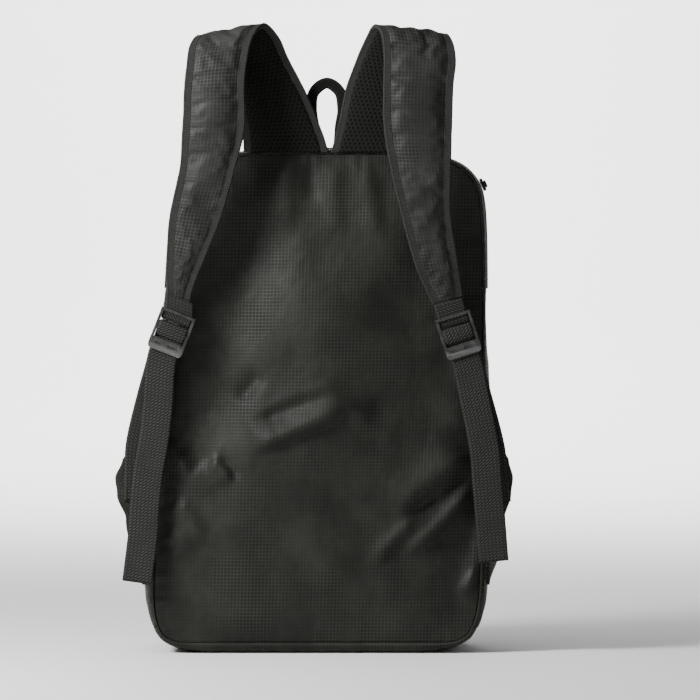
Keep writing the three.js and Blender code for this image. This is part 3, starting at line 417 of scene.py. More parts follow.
def bent_folds(rows, x, z, size):
    """Folds along bent lines, each fading out at its ends."""
    rise = np.zeros_like(x)
    steps = np.linspace(0, 1, 15)
    for a, b, c, d, e, f, height, steep, gentle in zip(*rows.values()):
        ends = np.array([[a, b], [c, d], [e, f]]) * [HALF_WIDTH, BACK_HEIGHT]
        line = np.outer((1 - steps) ** 2, ends[0]) + np.outer(2 * steps * (1 - steps), ends[1])
        line = line + np.outer(steps**2, ends[2])
        nearest, place, left = np.full(x.shape, 1e9), np.zeros_like(x), np.zeros_like(x)
        for i in range(len(line) - 1):
            way = line[i + 1] - line[i]
            off_x, off_z = x - line[i][0], z - line[i][1]
            t = np.clip((off_x * way[0] + off_z * way[1]) / (way @ way), 0, 1)
            away = np.hypot(off_x - t * way[0], off_z - t * way[1])
            closer = away < nearest
            nearest = np.where(closer, away, nearest)
            place = np.where(closer, (i + t) / (len(line) - 1), place)
            left = np.where(closer, way[0] * off_z - way[1] * off_x, left)
        reach = mix(gentle, steep, smooth(0.5 + left / np.abs(left).max() * 8)) * HALF_WIDTH
        fade = smooth(place / 0.3) * smooth((1 - place) / 0.3)
        rise = rise + height * size * np.exp(-((nearest / reach) ** 2)) * fade
    return rise


def panel_point(u, along, towards, crown, rows, depth):
    """A point of the built panel: u is its share of the half width there."""
    x, z, out_x, out_z = edge(along)
    z = z - out_z * GAP
    x = u * (x - out_x * GAP)
    up = (z - BASE_DROP) / BACK_HEIGHT
    hold = (1 - np.abs(u) ** 6) * (1 - np.abs(2 * up - 1) ** 12)
    cover = (1 - np.abs(u) ** 2.6) * (1 - np.abs(2 * up - 1) ** 4)
    rise = crown * cover + fold_rise(rows, x, z - BASE_DROP, crown) * hold
    return vec(x + lean_at(z), depth(z) + towards * rise, z)


# Where the bag's own origin lies in the shared frame, from the back panel as built
CORNER_PLACES = mix(LOW_CORNER, SIDE_START, np.array([0, 0.26, 0.5, 0.74, 1]))
SIDE_PLACES = np.linspace(SIDE_START, ZIP_END, 11)
SHOULDER_SHARES = np.array([0, 0.16, 0.32, 0.44, SLIDER_SHARE, 0.63, 0.71, 0.78, 0.85, 0.92, 1])
SHOULDER_PLACES = mix(ZIP_END, TOP_CORNER, SHOULDER_SHARES)
BUILT_PLACES = np.concatenate([CORNER_PLACES, SIDE_PLACES[1:], SHOULDER_PLACES[1:]])
built_edge = panel_point(
    np.ones_like(BUILT_PLACES), BUILT_PLACES, -1, BACK_CROWN, FRONT_FOLDS, lambda z: 0 * z)
back_high = np.array(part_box("back_panel")[1]) / METRE
ORIGIN = np.array([back_high[0] - built_edge[:, 0].max(), back_high[1] - CLOTH, 0])


# Meshes
def linked(name, data):
    piece = bpy.data.objects.new(name, data)
    bpy.context.scene.collection.objects.link(piece)
    return piece


def smooth_shaded(mesh):
    mesh.polygons.foreach_set("use_smooth", [True] * len(mesh.polygons))


def plain_piece(name, carrier, material):
    """The carrier's evaluated shape as an object of its own, and the carrier gone."""
    evaluated = carrier.evaluated_get(bpy.context.evaluated_depsgraph_get())
    plain = bpy.data.meshes.new_from_object(evaluated)
    carrier.modifiers.clear()
    bpy.data.objects.remove(carrier)
    plain.name = name
    if not plain.materials:
        plain.materials.append(material)
    smooth_shaded(plain)
    return linked(name, plain)


def recalculated(mesh):
    work = bmesh.new()
    work.from_mesh(mesh)
    bmesh.ops.recalc_face_normals(work, faces=work.faces)
    work.to_mesh(mesh)
    work.free()


def mesh_object(name, points, faces, material, uv):
    """A mesh from points in millimetres about the bag's own origin; uv is in millimetres, per point."""
    mesh = bpy.data.meshes.new(name)
    placed = (np.asarray(points, float).reshape(-1, 3) + ORIGIN) * METRE
    mesh.from_pydata(placed.tolist(), [], faces)
    corner_points = np.empty(len(mesh.loops), int)
    mesh.loops.foreach_get("vertex_index", corner_points)
    layer = mesh.uv_layers.new(name="cloth")
    layer.data.foreach_set("uv", (uv.reshape(-1, 2)[corner_points] * METRE).ravel())
    recalculated(mesh)
    smooth_shaded(mesh)
    mesh.materials.append(material)
    return linked(name, mesh)


def wall_faces(rows, columns):
    """Quads of a grid, of the same grid behind it, and round their four edges."""
    r, c = np.meshgrid(np.arange(rows - 1), np.arange(columns - 1), indexing="ij")
    a = (r * columns + c).ravel()
    front = np.stack([a, a + 1, a + columns + 1, a + columns], axis=1)
    total = rows * columns
    rear = front[:, ::-1] + total
    rim = list(range(columns)) + [i * columns + columns - 1 for i in range(1, rows)]
    rim += [(rows - 1) * columns + i for i in range(columns - 2, -1, -1)]
    rim += [i * columns for i in range(rows - 2, 0, -1)]
    sides = [(p, q, q + total, p + total) for p, q in zip(rim, rim[1:] + rim[:1])]
    return front.tolist() + rear.tolist() + sides


def wall_object(name, outer, inner, material, uv):
    """A thin closed body between two grids of points."""
    rows, columns = outer.shape[:2]
    points = np.concatenate([outer.reshape(-1, 3), inner.reshape(-1, 3)])
    both = np.concatenate([uv.reshape(-1, 2)] * 2)
    return mesh_object(name, points, wall_faces(rows, columns), material, both)


def loft_object(name, rings, material, uv):
    """A closed body through closed rings, with a fan at each end."""
    count, around = rings.shape[:2]
    points = rings.reshape(-1, 3)
    r, i = np.meshgrid(np.arange(count - 1), np.arange(around), indexing="ij")
    j = (i + 1) % around
    faces = np.stack([r * around + i, r * around + j, (r + 1) * around + j, (r + 1) * around + i], axis=-1)
    faces = faces.reshape(-1, 4).tolist()
    hubs = [rings[0].mean(axis=0), rings[-1].mean(axis=0)]
    hub_uv = [uv[0].mean(axis=0), uv[-1].mean(axis=0)]
    for end, row in enumerate((0, count - 1)):
        hub = len(points) + end
        faces += [(hub, row * around + k, row * around + (k + 1) % around) for k in range(around)]
    return mesh_object(
        name, np.vstack([points, hubs]), faces, material, np.vstack([uv.reshape(-1, 2), hub_uv]))


def settle(piece, slot, *nodes, padded=None):
    """The piece rides on the bag and stands for the nodes, which it hides; its slot is not used."""
    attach(piece, "root")
    if nodes:
        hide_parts(*nodes)
    return piece


# Materials
def set_input(tree, socket, value):
    """Links an input to an output, or gives it a value."""
    if isinstance(value, bpy.types.NodeSocket):
        tree.links.new(value, socket)
    else:
        socket.default_value = value


def add_node(tree, kind, inputs=(), **settings):
    made = tree.nodes.new(kind)
    for key, value in settings.items():
        setattr(made, key, value)
    for key, value in dict(inputs).items():
        set_input(tree, made.inputs[key], value)
    return made


class Finish:
    """A procedural material, built up node by node."""

    def __init__(self, name, roughness, sheen=0.0, sheen_roughness=0.4, specular=0.5, coat=0.0):
        self.material = bpy.data.materials.new(name)
        self.material.use_nodes = True
        self.tree = self.material.node_tree
        self.shader = self.tree.nodes["Principled BSDF"]
        self.shader.inputs["Roughness"].default_value = roughness
        self.shader.inputs["Sheen Weight"].default_value = sheen
        self.shader.inputs["Sheen Roughness"].default_value = sheen_roughness
        self.shader.inputs["Specular IOR Level"].default_value = specular
        self.shader.inputs["Coat Weight"].default_value = coat
        self.height = None

    def node(self, kind, output, inputs=(), **settings):
        return add_node(self.tree, kind, inputs, **settings).outputs[output]

    def put(self, socket, value):
        set_input(self.tree, socket, value)

    def math(self, operation, a, b=0.0, c=0.0):
        return self.node("ShaderNodeMath", 0, {0: a, 1: b, 2: c}, operation=operation)

    def times(self, a, b):
        return self.math("MULTIPLY", a, b)

    def plus(self, a, b):
        return self.math("ADD", a, b)

    def minus(self, a, b):
        return self.math("SUBTRACT", a, b)

    def uv(self, turn=0.0):
        """The piece's own cloth coordinates in metres, turned by some degrees: u and v."""
        place = self.node("ShaderNodeUVMap", 0, uv_map="cloth")
        turned = self.node("ShaderNodeMapping", 0, {0: place, "Rotation": (0, 0, math.radians(turn))})
        split = self.tree.nodes.new("ShaderNodeSeparateXYZ")
        self.put(split.inputs[0], turned)
        return split.outputs[0], split.outputs[1]

    def place(self):
        return self.node("ShaderNodeTexCoord", "Object")

    def noise(self, size, detail=2.0, where=None):
        """Noise from 0 to 1 in swells of size millimetres."""
        inputs = {"Vector": where or self.place(), "Scale": 1 / (size * METRE), "Detail": detail}
        return self.node("ShaderNodeTexNoise", 0, inputs)

    def ramp(self, value, low, high, start=0.0, end=1.0):
        inputs = {"Value": value, "From Min": low, "From Max": high, "To Min": start, "To Max": end}
        return self.node("ShaderNodeMapRange", 0, inputs, interpolation_type="SMOOTHSTEP")

    def blend(self, share, a, b, how="MIX"):
        made = self.tree.nodes.new("ShaderNodeMix")
        made.data_type, made.blend_type = "RGBA", how
        for socket, value in zip((made.inputs[0], made.inputs[6], made.inputs[7]), (share, a, b)):
            self.put(socket, (*value, 1) if isinstance(value, tuple) and len(value) == 3 else value)
        return made.outputs[2]

    def lines(self, along, pitch, thin):
        """1 on thin lines a pitch apart, 0 between them."""
        share = self.math("FRACT", self.math("DIVIDE", along, pitch * METRE))
        off = self.math("ABSOLUTE", self.minus(share, 0.5))
        return self.ramp(off, 0.5 - thin, 0.5 - thin * 0.35)

    def sine(self, along, pitch):
        return self.math("SINE", self.times(along, 2 * math.pi / (pitch * METRE)))

    def bump(self, height, depth, strength=1.0):
        """Adds relief depth millimetres high."""
        inputs = {"Height": height, "Distance": depth * METRE, "Strength": strength}
        if self.height is not None:
            inputs["Normal"] = self.height
        self.height = self.node("ShaderNodeBump", 0, inputs)

    def done(self, color, roughness=None):
        self.put(self.shader.inputs["Base Color"], color)
        if roughness is not None:
            self.put(self.shader.inputs["Roughness"], roughness)
        if self.height is not None:
            self.put(self.shader.inputs["Normal"], self.height)
        return self.material


def tinted(color, by):
    return tuple(c * by for c in color)


def ripstop_finish(name, dark, pale, sheen, grid_shows, specular):
    """Thin calendered nylon with a raised check, which shows more in some places than in others. The check's
    cells are painted darker as shade and its raised lines paler as a painted highlight.
    """
    cloth = Finish(name, 0.5, sheen=sheen, sheen_roughness=0.35, specular=specular)
    check_pitch, line_share, thread_pitch = 2.9, 0.26, 0.42
    u, v = cloth.uv()
    check = cloth.math(
        "MAXIMUM", cloth.lines(u, check_pitch, line_share), cloth.lines(v, check_pitch, line_share))
    weave = cloth.times(cloth.sine(u, thread_pitch), cloth.sine(v, thread_pitch))
    patches = cloth.ramp(cloth.noise(48, 3), 0.38, 0.66)
    # shows sets, in random patches, how strongly the check's painted shade and highlight come through
    shows = cloth.times(cloth.ramp(cloth.noise(38, 4), 0.42, 0.62, 0.25, 1.0), grid_shows)
    fine = cloth.noise(5, 4)
    base = cloth.blend(patches, dark, pale)
    base = cloth.blend(cloth.times(fine, 0.3), base, tinted(pale, 1.6))
    # Painted shade: the cells between the raised lines are darkened almost to black
    shaded_cells = cloth.times(cloth.minus(1.0, check), shows)
    base = cloth.blend(shaded_cells, base, tinted(dark, 0.16))
    # Painted highlight: the raised lines of the check are made paler
    raised = cloth.times(check, shows)
    base = cloth.blend(cloth.times(raised, 0.35), base, tinted(pale, 2.2))
    cloth.bump(cloth.noise(13, 3), 0.45, 0.3)
    cloth.bump(check, 0.16, 0.7)
    cloth.bump(weave, 0.03, 0.35)
    gloss = cloth.ramp(cloth.noise(20, 3), 0.2, 0.8, 0.4, 0.56)
    rough = cloth.plus(gloss, cloth.times(shaded_cells, 0.3))
    return cloth.done(base, rough)


def mesh_finish():
    """Open air mesh: a honeycomb of knitted ribs round small holes, which are painted near black as the shade
    seen through them.
    """
    knit = Finish("air_mesh_knit", 0.8, sheen=0.02, sheen_roughness=0.5, specular=0.12)
    directions = [knit.sine(knit.uv(turn)[0], 3.3) for turn in (0, 60, 120)]
    peaks = knit.plus(knit.plus(directions[0], directions[1]), directions[2])
    shaded_holes = knit.ramp(peaks, 0.1, 1.2)
    thread = knit.noise(0.8, 3)
    ribs = knit.blend(thread, (0.003, 0.003, 0.0026), (0.014, 0.014, 0.012))
    knit.bump(knit.minus(1.0, shaded_holes), 0.8, 1.0)
    knit.bump(thread, 0.1, 0.5)
    # Painted shade: the holes are near black, standing for the shade seen through the open mesh
    return knit.done(knit.blend(shaded_holes, ribs, (0.0004, 0.0004, 0.0004)))


def tape_finish(name, dark, pale, pitch, sheen, specular):
    """Woven grosgrain tape, ribbed across its length. Its ribs are painted paler and the grooves between them
    darker, as painted highlight and shade.
    """
    tape = Finish(name, 0.75, sheen=sheen, specular=specular)
    u, v = tape.uv()
    ribs = tape.ramp(tape.sine(u, pitch), -1, 1)
    threads = tape.ramp(tape.sine(v, pitch * 0.6), -1, 1)
    lit_weave = tape.times(ribs, tape.plus(threads, 0.6))
    worn = tape.noise(5, 4)
    # Painted highlight on the ribs and painted shade in the grooves between them
    base = tape.blend(lit_weave, dark, pale)
    base = tape.blend(tape.times(worn, 0.35), base, tinted(pale, 1.6))
    tape.bump(lit_weave, 0.18, 0.7)
    tape.bump(tape.noise(0.5, 2), 0.06, 0.5)
    return tape.done(base)


def webbing_finish():
    """Nylon webbing: lengthwise rows of short slanting stitches, each row half a stitch on. The yarns are
    painted paler as highlight, and the gaps between rows and stitches near black as shade.
    """
    band = Finish("webbing_weave", 0.6, sheen=0.03, specular=0.2)
    u, v = band.uv()
    share = band.math("FRACT", band.math("DIVIDE", v, 3.1 * METRE))
    off = band.math("ABSOLUTE", band.minus(share, 0.5))
    slanted = band.plus(u, band.times(share, 1.9 * METRE))
    yarn = band.ramp(band.sine(slanted, 2.6), -0.7, 0.7)
    rows = band.ramp(off, 0.5, 0.3, 0.1, 1.0)
    lit_weave = band.times(yarn, rows)
    fibre = band.noise(0.7, 3)
    # Painted shade in the gaps between yarns and rows, painted highlight on the yarns
    base = band.blend(lit_weave, (0.0012, 0.0012, 0.001), (0.036, 0.036, 0.032))
    base = band.blend(band.times(fibre, 0.3), base, (0.03, 0.03, 0.027))
    base = band.blend(band.ramp(band.noise(25, 2), 0.35, 0.75, 0.0, 0.35), base, (0.008, 0.008, 0.007))
    band.bump(lit_weave, 0.45, 0.9)
    band.bump(fibre, 0.08, 0.4)
    return band.done(base)


def plastic_finish(name, dark, pale, roughness, specular, coat):
    """Moulded plastic or paint, rubbed paler in places."""
    plastic = Finish(name, roughness, specular=specular, coat=coat)
    cloudy = plastic.noise(7, 4)
    base = plastic.blend(plastic.ramp(cloudy, 0.35, 0.75), dark, pale)
    plastic.bump(plastic.noise(0.9, 3), 0.03, 0.35)
    return plastic.done(base, plastic.ramp(plastic.noise(3, 4), 0.2, 0.8, roughness - 0.07, roughness + 0.12))


def thread_finish():
    """Twisted sewing thread."""
    thread = Finish("sewing_thread", 0.6, sheen=0.08, specular=0.4)
    twist = thread.noise(0.35, 2)
    thread.bump(twist, 0.05, 0.5)
    return thread.done(thread.blend(twist, (0.004, 0.004, 0.0036), (0.02, 0.02, 0.018)))


RIPSTOP = ripstop_finish(
    "ripstop_nylon", (0.0105, 0.0107, 0.009), (0.0205, 0.0208, 0.0177),
    sheen=0.0, grid_shows=0.55, specular=0.13)
# A paler copy of the panels' nylon with little specular: the sheen it no longer reflects is painted into its
# colour as extra lightness
WALL_RIPSTOP = ripstop_finish(
    "wall_ripstop_nylon", (0.017, 0.0172, 0.0148), (0.03, 0.0303, 0.0265),
    sheen=0.0, grid_shows=0.5, specular=0.03)
# A paler copy of the panels' nylon: the straps' brighter, better-lit look is painted into its colour
STRAP_RIPSTOP = ripstop_finish(
    "strap_ripstop_nylon", (0.014, 0.014, 0.0128), (0.028, 0.028, 0.026),
    sheen=0.03, grid_shows=0.55, specular=0.13)
AIR_MESH = mesh_finish()
BINDING = tape_finish(
    "binding_tape", (0.008, 0.008, 0.0072), (0.03, 0.03, 0.0275), pitch=1.5, sheen=0.03, specular=0.15)
ZIP_TAPE = tape_finish(
    "zipper_tape", (0.004, 0.004, 0.0035), (0.012, 0.012, 0.011), pitch=0.8, sheen=0.0, specular=0.0)
LOOP_TAPE = tape_finish(
    "grab_loop_tape", (0.0025, 0.0025, 0.0022), (0.011, 0.011, 0.01), pitch=1.5, sheen=0.02, specular=0.1)
WEBBING = webbing_finish()
PLASTIC = plastic_finish(
    "buckle_acetal", (0.019, 0.019, 0.0182), (0.035, 0.035, 0.0335),
    roughness=0.27, specular=0.8, coat=0.35)
SLIDER_PAINT = plastic_finish(
    "painted_slider", (0.008, 0.008, 0.0078), (0.016, 0.016, 0.0155),
    roughness=0.42, specular=0.3, coat=0.0)
COIL = plastic_finish(
    "zipper_coil_nylon", (0.005, 0.005, 0.0048), (0.014, 0.014, 0.013),
    roughness=0.45, specular=0.0, coat=0.0)
THREAD = thread_finish()


# Stitches, teeth and other repeats, placed along seams by Geometry Nodes
def repeat_tree(name, pivot):
    """Beads of a size at a pitch along every edge chain; pivot is the axis that they turn about."""
    tree = bpy.data.node_groups.new(name, "GeometryNodeTree")
    tree.interface.new_socket("Geometry", in_out="INPUT", socket_type="NodeSocketGeometry")
    for label in ("Pitch", "Long", "Wide", "High", "Uneven"):
        tree.interface.new_socket(label, in_out="INPUT", socket_type="NodeSocketFloat")
    tree.interface.new_socket("Thread", in_out="INPUT", socket_type="NodeSocketMaterial")
    tree.interface.new_socket("Geometry", in_out="OUTPUT", socket_type="NodeSocketGeometry")

    def node(kind, inputs=(), **settings):
        return add_node(tree, kind, inputs, **settings)

    given = node("NodeGroupInput").outputs
    seams = node("GeometryNodeMeshToCurve", {"Mesh": given["Geometry"]}).outputs["Curve"]
    places = node("GeometryNodeCurveToPoints", {"Curve": seams, "Length": given["Pitch"]}, mode="LENGTH")
    turn = node(
        "FunctionNodeAlignRotationToVector", {"Vector": places.outputs["Tangent"]},
        axis="Z", pivot_axis=pivot)
    bead = node("GeometryNodeMeshUVSphere", {"Segments": 7, "Rings": 5, "Radius": 0.5}).outputs["Mesh"]
    round_bead = node("GeometryNodeSetShadeSmooth", {"Geometry": bead}).outputs["Geometry"]
    spread = node("ShaderNodeMath", {0: 1.0, 1: given["Uneven"]}, operation="SUBTRACT").outputs[0]
    uneven = node(
        "FunctionNodeRandomValue", {"Min": spread, "Max": 1.0, "Seed": 5}, data_type="FLOAT").outputs["Value"]
    size = node("ShaderNodeCombineXYZ", {0: given["High"], 1: given["Wide"], 2: given["Long"]}).outputs[0]
    scaled = node("ShaderNodeVectorMath", {0: size, "Scale": uneven}, operation="SCALE")
    beads = node("GeometryNodeInstanceOnPoints", {
        "Points": places.outputs["Points"], "Instance": round_bead,
        "Rotation": turn.outputs["Rotation"], "Scale": scaled.outputs[0],
    })
    real = node("GeometryNodeRealizeInstances", {"Geometry": beads.outputs["Instances"]})
    done = node("GeometryNodeSetMaterial", {"Geometry": real.outputs[0], "Material": given["Thread"]})
    node("NodeGroupOutput", {"Geometry": done.outputs["Geometry"]})
    return tree


STITCH_TREE = repeat_tree("stitches_along_seam", "AUTO")
TOOTH_TREE = repeat_tree("teeth_along_zipper", "Y")


def repeats(name, lines, tree, sizes, material):
    """Beads along lines of points in millimetres, as one plain mesh."""
    points, edges = [], []
    for line in lines:
        start = len(points)
        points += ((np.asarray(line) + ORIGIN) * METRE).tolist()
        edges += [(start + i, start + i + 1) for i in range(len(line) - 1)]
    mesh = bpy.data.meshes.new(name + "_path")
    mesh.from_pydata(points, edges, [])
    carrier = linked(name + "_path", mesh)
    modifier = carrier.modifiers.new("repeats", "NODES")
    modifier.node_group = tree
    ids = {item.name: item.identifier for item in tree.interface.items_tree if item.in_out == "INPUT"}
    for label, value in sizes.items():
        modifier[ids[label]] = value if label == "Uneven" else value * METRE
    modifier[ids["Thread"]] = material
    return plain_piece(name, carrier, material)


SEAM_STITCH = {"Pitch": 2.9, "Long": 2.2, "Wide": 0.85, "High": 0.7, "Uneven": 0.12}


def stitches(name, lines, slot="binding"):
    settle(repeats(name, lines, STITCH_TREE, SEAM_STITCH, THREAD), slot)


# Panels
def seam_puckers(off, along, seed, reach, pitch):
    """Small gathers that run in from a seam: off is the distance from it, along the way along it."""
    sway = waves(vec(along, 0 * along, 0 * along), 31, seed)
    strength = 0.55 + 0.45 * waves(vec(along, 0 * along, 9), 47, seed + 3)
    return np.exp(-(off / reach) ** 1.4) * np.sin(2 * np.pi * (along / pitch + 1.3 * sway)) * strength


def panel_grid(towards, crown, folds, relief_at, depth, rows, columns, seed):
    """The dressed face of a panel and its cloth coordinates. Its relief fades out at the seams."""
    along = np.linspace(LOW_CORNER, TOP_CORNER, rows)[:, None]
    spread = 0.35 * np.pi
    shares = np.sin(np.linspace(-spread, spread, columns)) / np.sin(spread)
    u = np.broadcast_to(shares, (rows, columns))
    along = np.broadcast_to(along, (rows, columns))
    points = panel_point(u, along, towards, crown, folds, depth)
    x = points[..., 0] - lean_at(points[..., 2])
    z = points[..., 2] - BASE_DROP
    seam_x = edge(along)[0]
    side_off = seam_x - np.abs(x)
    low_off, top_off = z, BACK_HEIGHT - z
    off = np.minimum(np.minimum(side_off, low_off), top_off)
    inside = smooth(off / 9)
    upper = smooth((z / BACK_HEIGHT - 0.5) / 0.4)
    relief = relief_at(x, z) + SWELL_RISE * waves(points, SWELL_SIZE, seed)
    relief += RUMPLE_RISE * waves(points, RUMPLE_SIZE, seed + 1)
    relief += DRAWN_RISE * waves(points * np.array([1, 1, 0.22]), DRAWN_SIZE, seed + 7) * upper
    relief += CRUMPLE_RISE * creased(points, CRUMPLE_SIZE, seed + 2)
    relief *= inside
    near = smooth(off / 2.5)
    side_way = z + np.where(x > 0, SIDES_APART, 0)
    relief += 0.75 * seam_puckers(side_off, side_way, seed + 4, reach=15, pitch=13) * near
    relief += 0.6 * seam_puckers(top_off, x, seed + 5, reach=13, pitch=15) * near
    relief += 0.55 * seam_puckers(low_off, x, seed + 6, reach=11, pitch=14) * near
    turned = np.sqrt(np.clip(1 - (1 - off / EDGE_ROUND) ** 2, 0, 1))
    edge_drop = EDGE_DROP * (1 - np.where(off < EDGE_ROUND, turned, 1))
    points[..., 1] += towards * (relief - edge_drop)
    return points, vec(x, z)


def make_panel(name, node, towards, crown, folds, relief_at, depth, rows, columns, seed):
    outer, uv = panel_grid(towards, crown, folds, relief_at, depth, rows, columns, seed)
    inner = outer - np.array([0, towards * CLOTH, 0])
    return settle(wall_object(name, outer, inner, RIPSTOP, uv), "ripstop", node)


NO_FOLDS = {key: values[:0] for key, values in FRONT_FOLDS.items()}
make_panel("back_panel_cloth", "back_panel", -1, BACK_CROWN, NO_FOLDS,
           lambda x, z: bent_folds(FOLDS, x, z, BACK_CROWN),
           lambda z: 0 * z, PANEL_ROWS, PANEL_COLUMNS, 1)
make_panel("front_panel_cloth", "front_panel", 1, FRONT_CROWN, FRONT_FOLDS,
           lambda x, z: fold_rise(FRONT_CREASES, x, z, FRONT_CROWN),
           depth_at, PANEL_ROWS * 2 // 3, PANEL_COLUMNS * 2 // 3, 11)


# Walls round the edge
def wall_grid(places, sides, stops, seed, wrinkle):
    """The outer and inner face of a wall and its cloth coordinates."""
    along, across = np.broadcast_arrays(places[:, None], stops[None, :])
    side = np.broadcast_to(sides[:, None], along.shape)
    base = edge_wall(along, side, across)
    out = edge_wall_out(along, side, across)
    depth = depth_at(edge(along)[1])
    off = np.minimum(across, 1 - across) * depth
    length = side * along * HALF_LENGTH
    inside = smooth(off / 8)
    relief = waves(base, 46, seed) + 0.55 * waves(base * np.array([1, 0.45, 1]), 17, seed + 1)
    relief = wrinkle * relief * inside
    relief += 0.2 * wrinkle * creased(base, 10, seed + 2) * inside
    relief += 0.6 * seam_puckers(off, length, seed + 3, reach=11, pitch=13) * smooth(off / 2)
    relief = np.maximum(relief, -0.5 * CLOTH - 0.4)
    outer = base + out * (CLOTH + relief)[..., None]
    uv = vec(length, across * depth)
    return outer, base + out * np.minimum(relief, 0)[..., None], uv


def make_wall(name, node, places, sides, stops, seed, wrinkle):
    outer, inner, uv = wall_grid(places, sides, stops, seed, wrinkle)
    return settle(wall_object(name, outer, inner, WALL_RIPSTOP, uv), "ripstop", node)


def round_way(start, end, count):
    """Places from one side over the middle to the other, with their sides."""
    half = np.linspace(start, end, count)
    return np.concatenate([half, half[-2::-1]]), np.concatenate([-np.ones(count), np.ones(count - 1)])


ZIP_HALF_SHARE = ZIP_WIDE / 2 / DEPTH_TOP
under_places, under_sides = round_way(SIDE_START, 0, 70)
over_places, over_sides = round_way(ZIP_END, 1, 90)
even_stops = 0.5 - 0.5 * np.cos(np.linspace(0, np.pi, WALL_STOPS))
base_stops = np.unique(np.concatenate(
    [np.linspace(0, 0.085, 14), np.linspace(0.085, 0.915, 34), np.linspace(0.915, 1, 14)]))
make_wall("base_panel_cloth", "base_panel", under_places, under_sides, base_stops, 21, 0.35)
for name, facts in SIDES.items():
    places = np.linspace(SIDE_START + GAP / HALF_LENGTH, ZIP_END - GAP / HALF_LENGTH, WALL_PLACES)
    sides = np.full(WALL_PLACES, facts["sign"])
    make_wall(f"side_gusset_cloth_{name}", f"side_gusset_{name}", places, sides, even_stops,
              31 + facts["sign"], 1.5)
make_wall("top_gusset_cloth_back", "top_gusset_back", over_places, over_sides,
          np.linspace(0, ZIP_PLACE - ZIP_HALF_SHARE, 22), 41, 0.5)
make_wall("top_gusset_cloth_front", "top_gusset_front", over_places, over_sides,
          np.linspace(ZIP_PLACE + ZIP_HALF_SHARE, 1, 28), 43, 0.5)


def wall_line(places, sides, across, lift):
    """A line along the wall at one depth, raised a little."""
    at = np.full_like(places, across)
    return edge_wall(places, sides, at) + edge_wall_out(places, sides, at) * (CLOTH + lift)


# Topstitching beside the seams
def make_seam_stitches():
    """Down both sides beside the panels' seams, and over the top beside the seams and the zipper."""
    lines = []
    places = np.linspace(SIDE_START, ZIP_END, 200)
    for facts in SIDES.values():
        sides = np.full_like(places, facts["sign"])
        lines += [wall_line(places, sides, across, 0.1) for across in (0.028, 0.972)]
    for across in (0.045, ZIP_PLACE - ZIP_HALF_SHARE - 0.022, ZIP_PLACE + ZIP_HALF_SHARE + 0.022, 0.958):
        lines.append(wall_line(over_places, over_sides, across, 0.1))
    stitches("seam_stitches", lines)


make_seam_stitches()


# Zipper
def make_zipper():
    """The tape with the coil's solid core, the coil's teeth, and the stitching along it."""
    half, coil = ZIP_WIDE / 2 - GAP, COIL_WIDE / 2
    core = np.array([1, 0.95, 0.8, 0.4]) * coil * 0.94
    across_mm = np.concatenate([[-half, -half * 0.8], -core, [0], core[::-1], [half * 0.8, half]])
    core_lift = np.array([0.1, 0.9, 1.35, 1.55])
    lift = np.concatenate([[0, 0.1], core_lift, [1.45], core_lift[::-1], [0.1, 0]])
    places, sides = over_places[:, None], over_sides[:, None]
    depth = depth_at(edge(over_places)[1])[:, None]
    across = ZIP_PLACE + across_mm[None, :] / depth
    places, sides, across = np.broadcast_arrays(places, sides, across)
    base = edge_wall(places, sides, across)
    out = edge_wall_out(places, sides, across)
    outer = base + out * (CLOTH + lift)[None, :, None]
    uv = vec(sides * places * HALF_LENGTH, across * depth)
    settle(wall_object("zipper_tape", outer, base, ZIP_TAPE, uv), "zip_tape", "zipper")
    teeth = {
        "Pitch": TOOTH_PITCH, "Long": 0.95, "Wide": COIL_WIDE * 0.94, "High": COIL_HIGH * 1.6, "Uneven": 0.0,
    }
    line = wall_line(over_places, over_sides, ZIP_PLACE, 0.55)
    settle(repeats("zipper_coil", [line], TOOTH_TREE, teeth, COIL), "zip_tape")
    cords = [wall_line(over_places, over_sides, ZIP_PLACE + share * 1.6 / DEPTH_TOP, COIL_HIGH * 0.95)
             for share in (-1, 1)]
    row = {"Pitch": TOOTH_PITCH, "Long": 1.15, "Wide": 0.7, "High": 0.6, "Uneven": 0.0}
    settle(repeats("zipper_coil_stitching", cords, TOOTH_TREE, row, THREAD), "zip_tape")


make_zipper()


# Straps
class Strap:
    """A shoulder strap's edges, middle line and faces, as built."""

    def __init__(self, name):
        self.name = name
        self.sign = SIDES[name]["sign"]
        rows = STRAP_ROWS[name]

        def points(column, rise):
            return vec(
                LEAN + self.sign * rows[column] * HALF_WIDTH,
                -rows["out"] * STRAP_STAND,
                BASE_DROP + BACK_HEIGHT + rows["up"] * STRAP_RISE + rise * rows["tip"] * STRAP_WIDE * 0.5,
            )

        self.inner = points("inner", 1)
        self.outer = points("outer", -1)

    def middle_at(self, t):
        t = np.clip(t, 0, 1)
        return (curve_through(self.inner, t, "free") + curve_through(self.outer, t, "free")) / 2

    def at(self, t):
        a, b = curve_through(self.inner, t, "free"), curve_through(self.outer, t, "free")
        step = 0.004
        way = unit(self.middle_at(t + step) - self.middle_at(t - step))
        width = np.linalg.norm(b - a, axis=-1)
        across = unit(b - a)
        out = unit(np.cross(way, across) * self.sign)
        return {"middle": (a + b) / 2, "across": across, "out": out, "width": width}

    def length_at(self, t):
        steps = np.linspace(0, 1, 401)
        return np.interp(t, steps, travelled(self.middle_at(steps)))


def strap_pinch(t):
    """How far the strap keeps its thickness: less where its ends are sewn."""
    return mix(END_PINCH, 1, smooth(np.minimum(t / ROOT_SEWN, (1 - t) / END_SEWN)))


def pad_half(share):
    """Half the strap's thickness across its width, thinner at its edges."""
    return 0.5 * mix(STRAP_EDGE_THICK, PAD_THICK, 1 - np.abs(share) ** 3)


def strap_points(frame_at, side, out):
    return frame_at["middle"][:, None] + frame_at["across"][:, None] * side[..., None] + (
        frame_at["out"][:, None] * out[..., None])


STRAPS = {name: Strap(name) for name in SIDES}


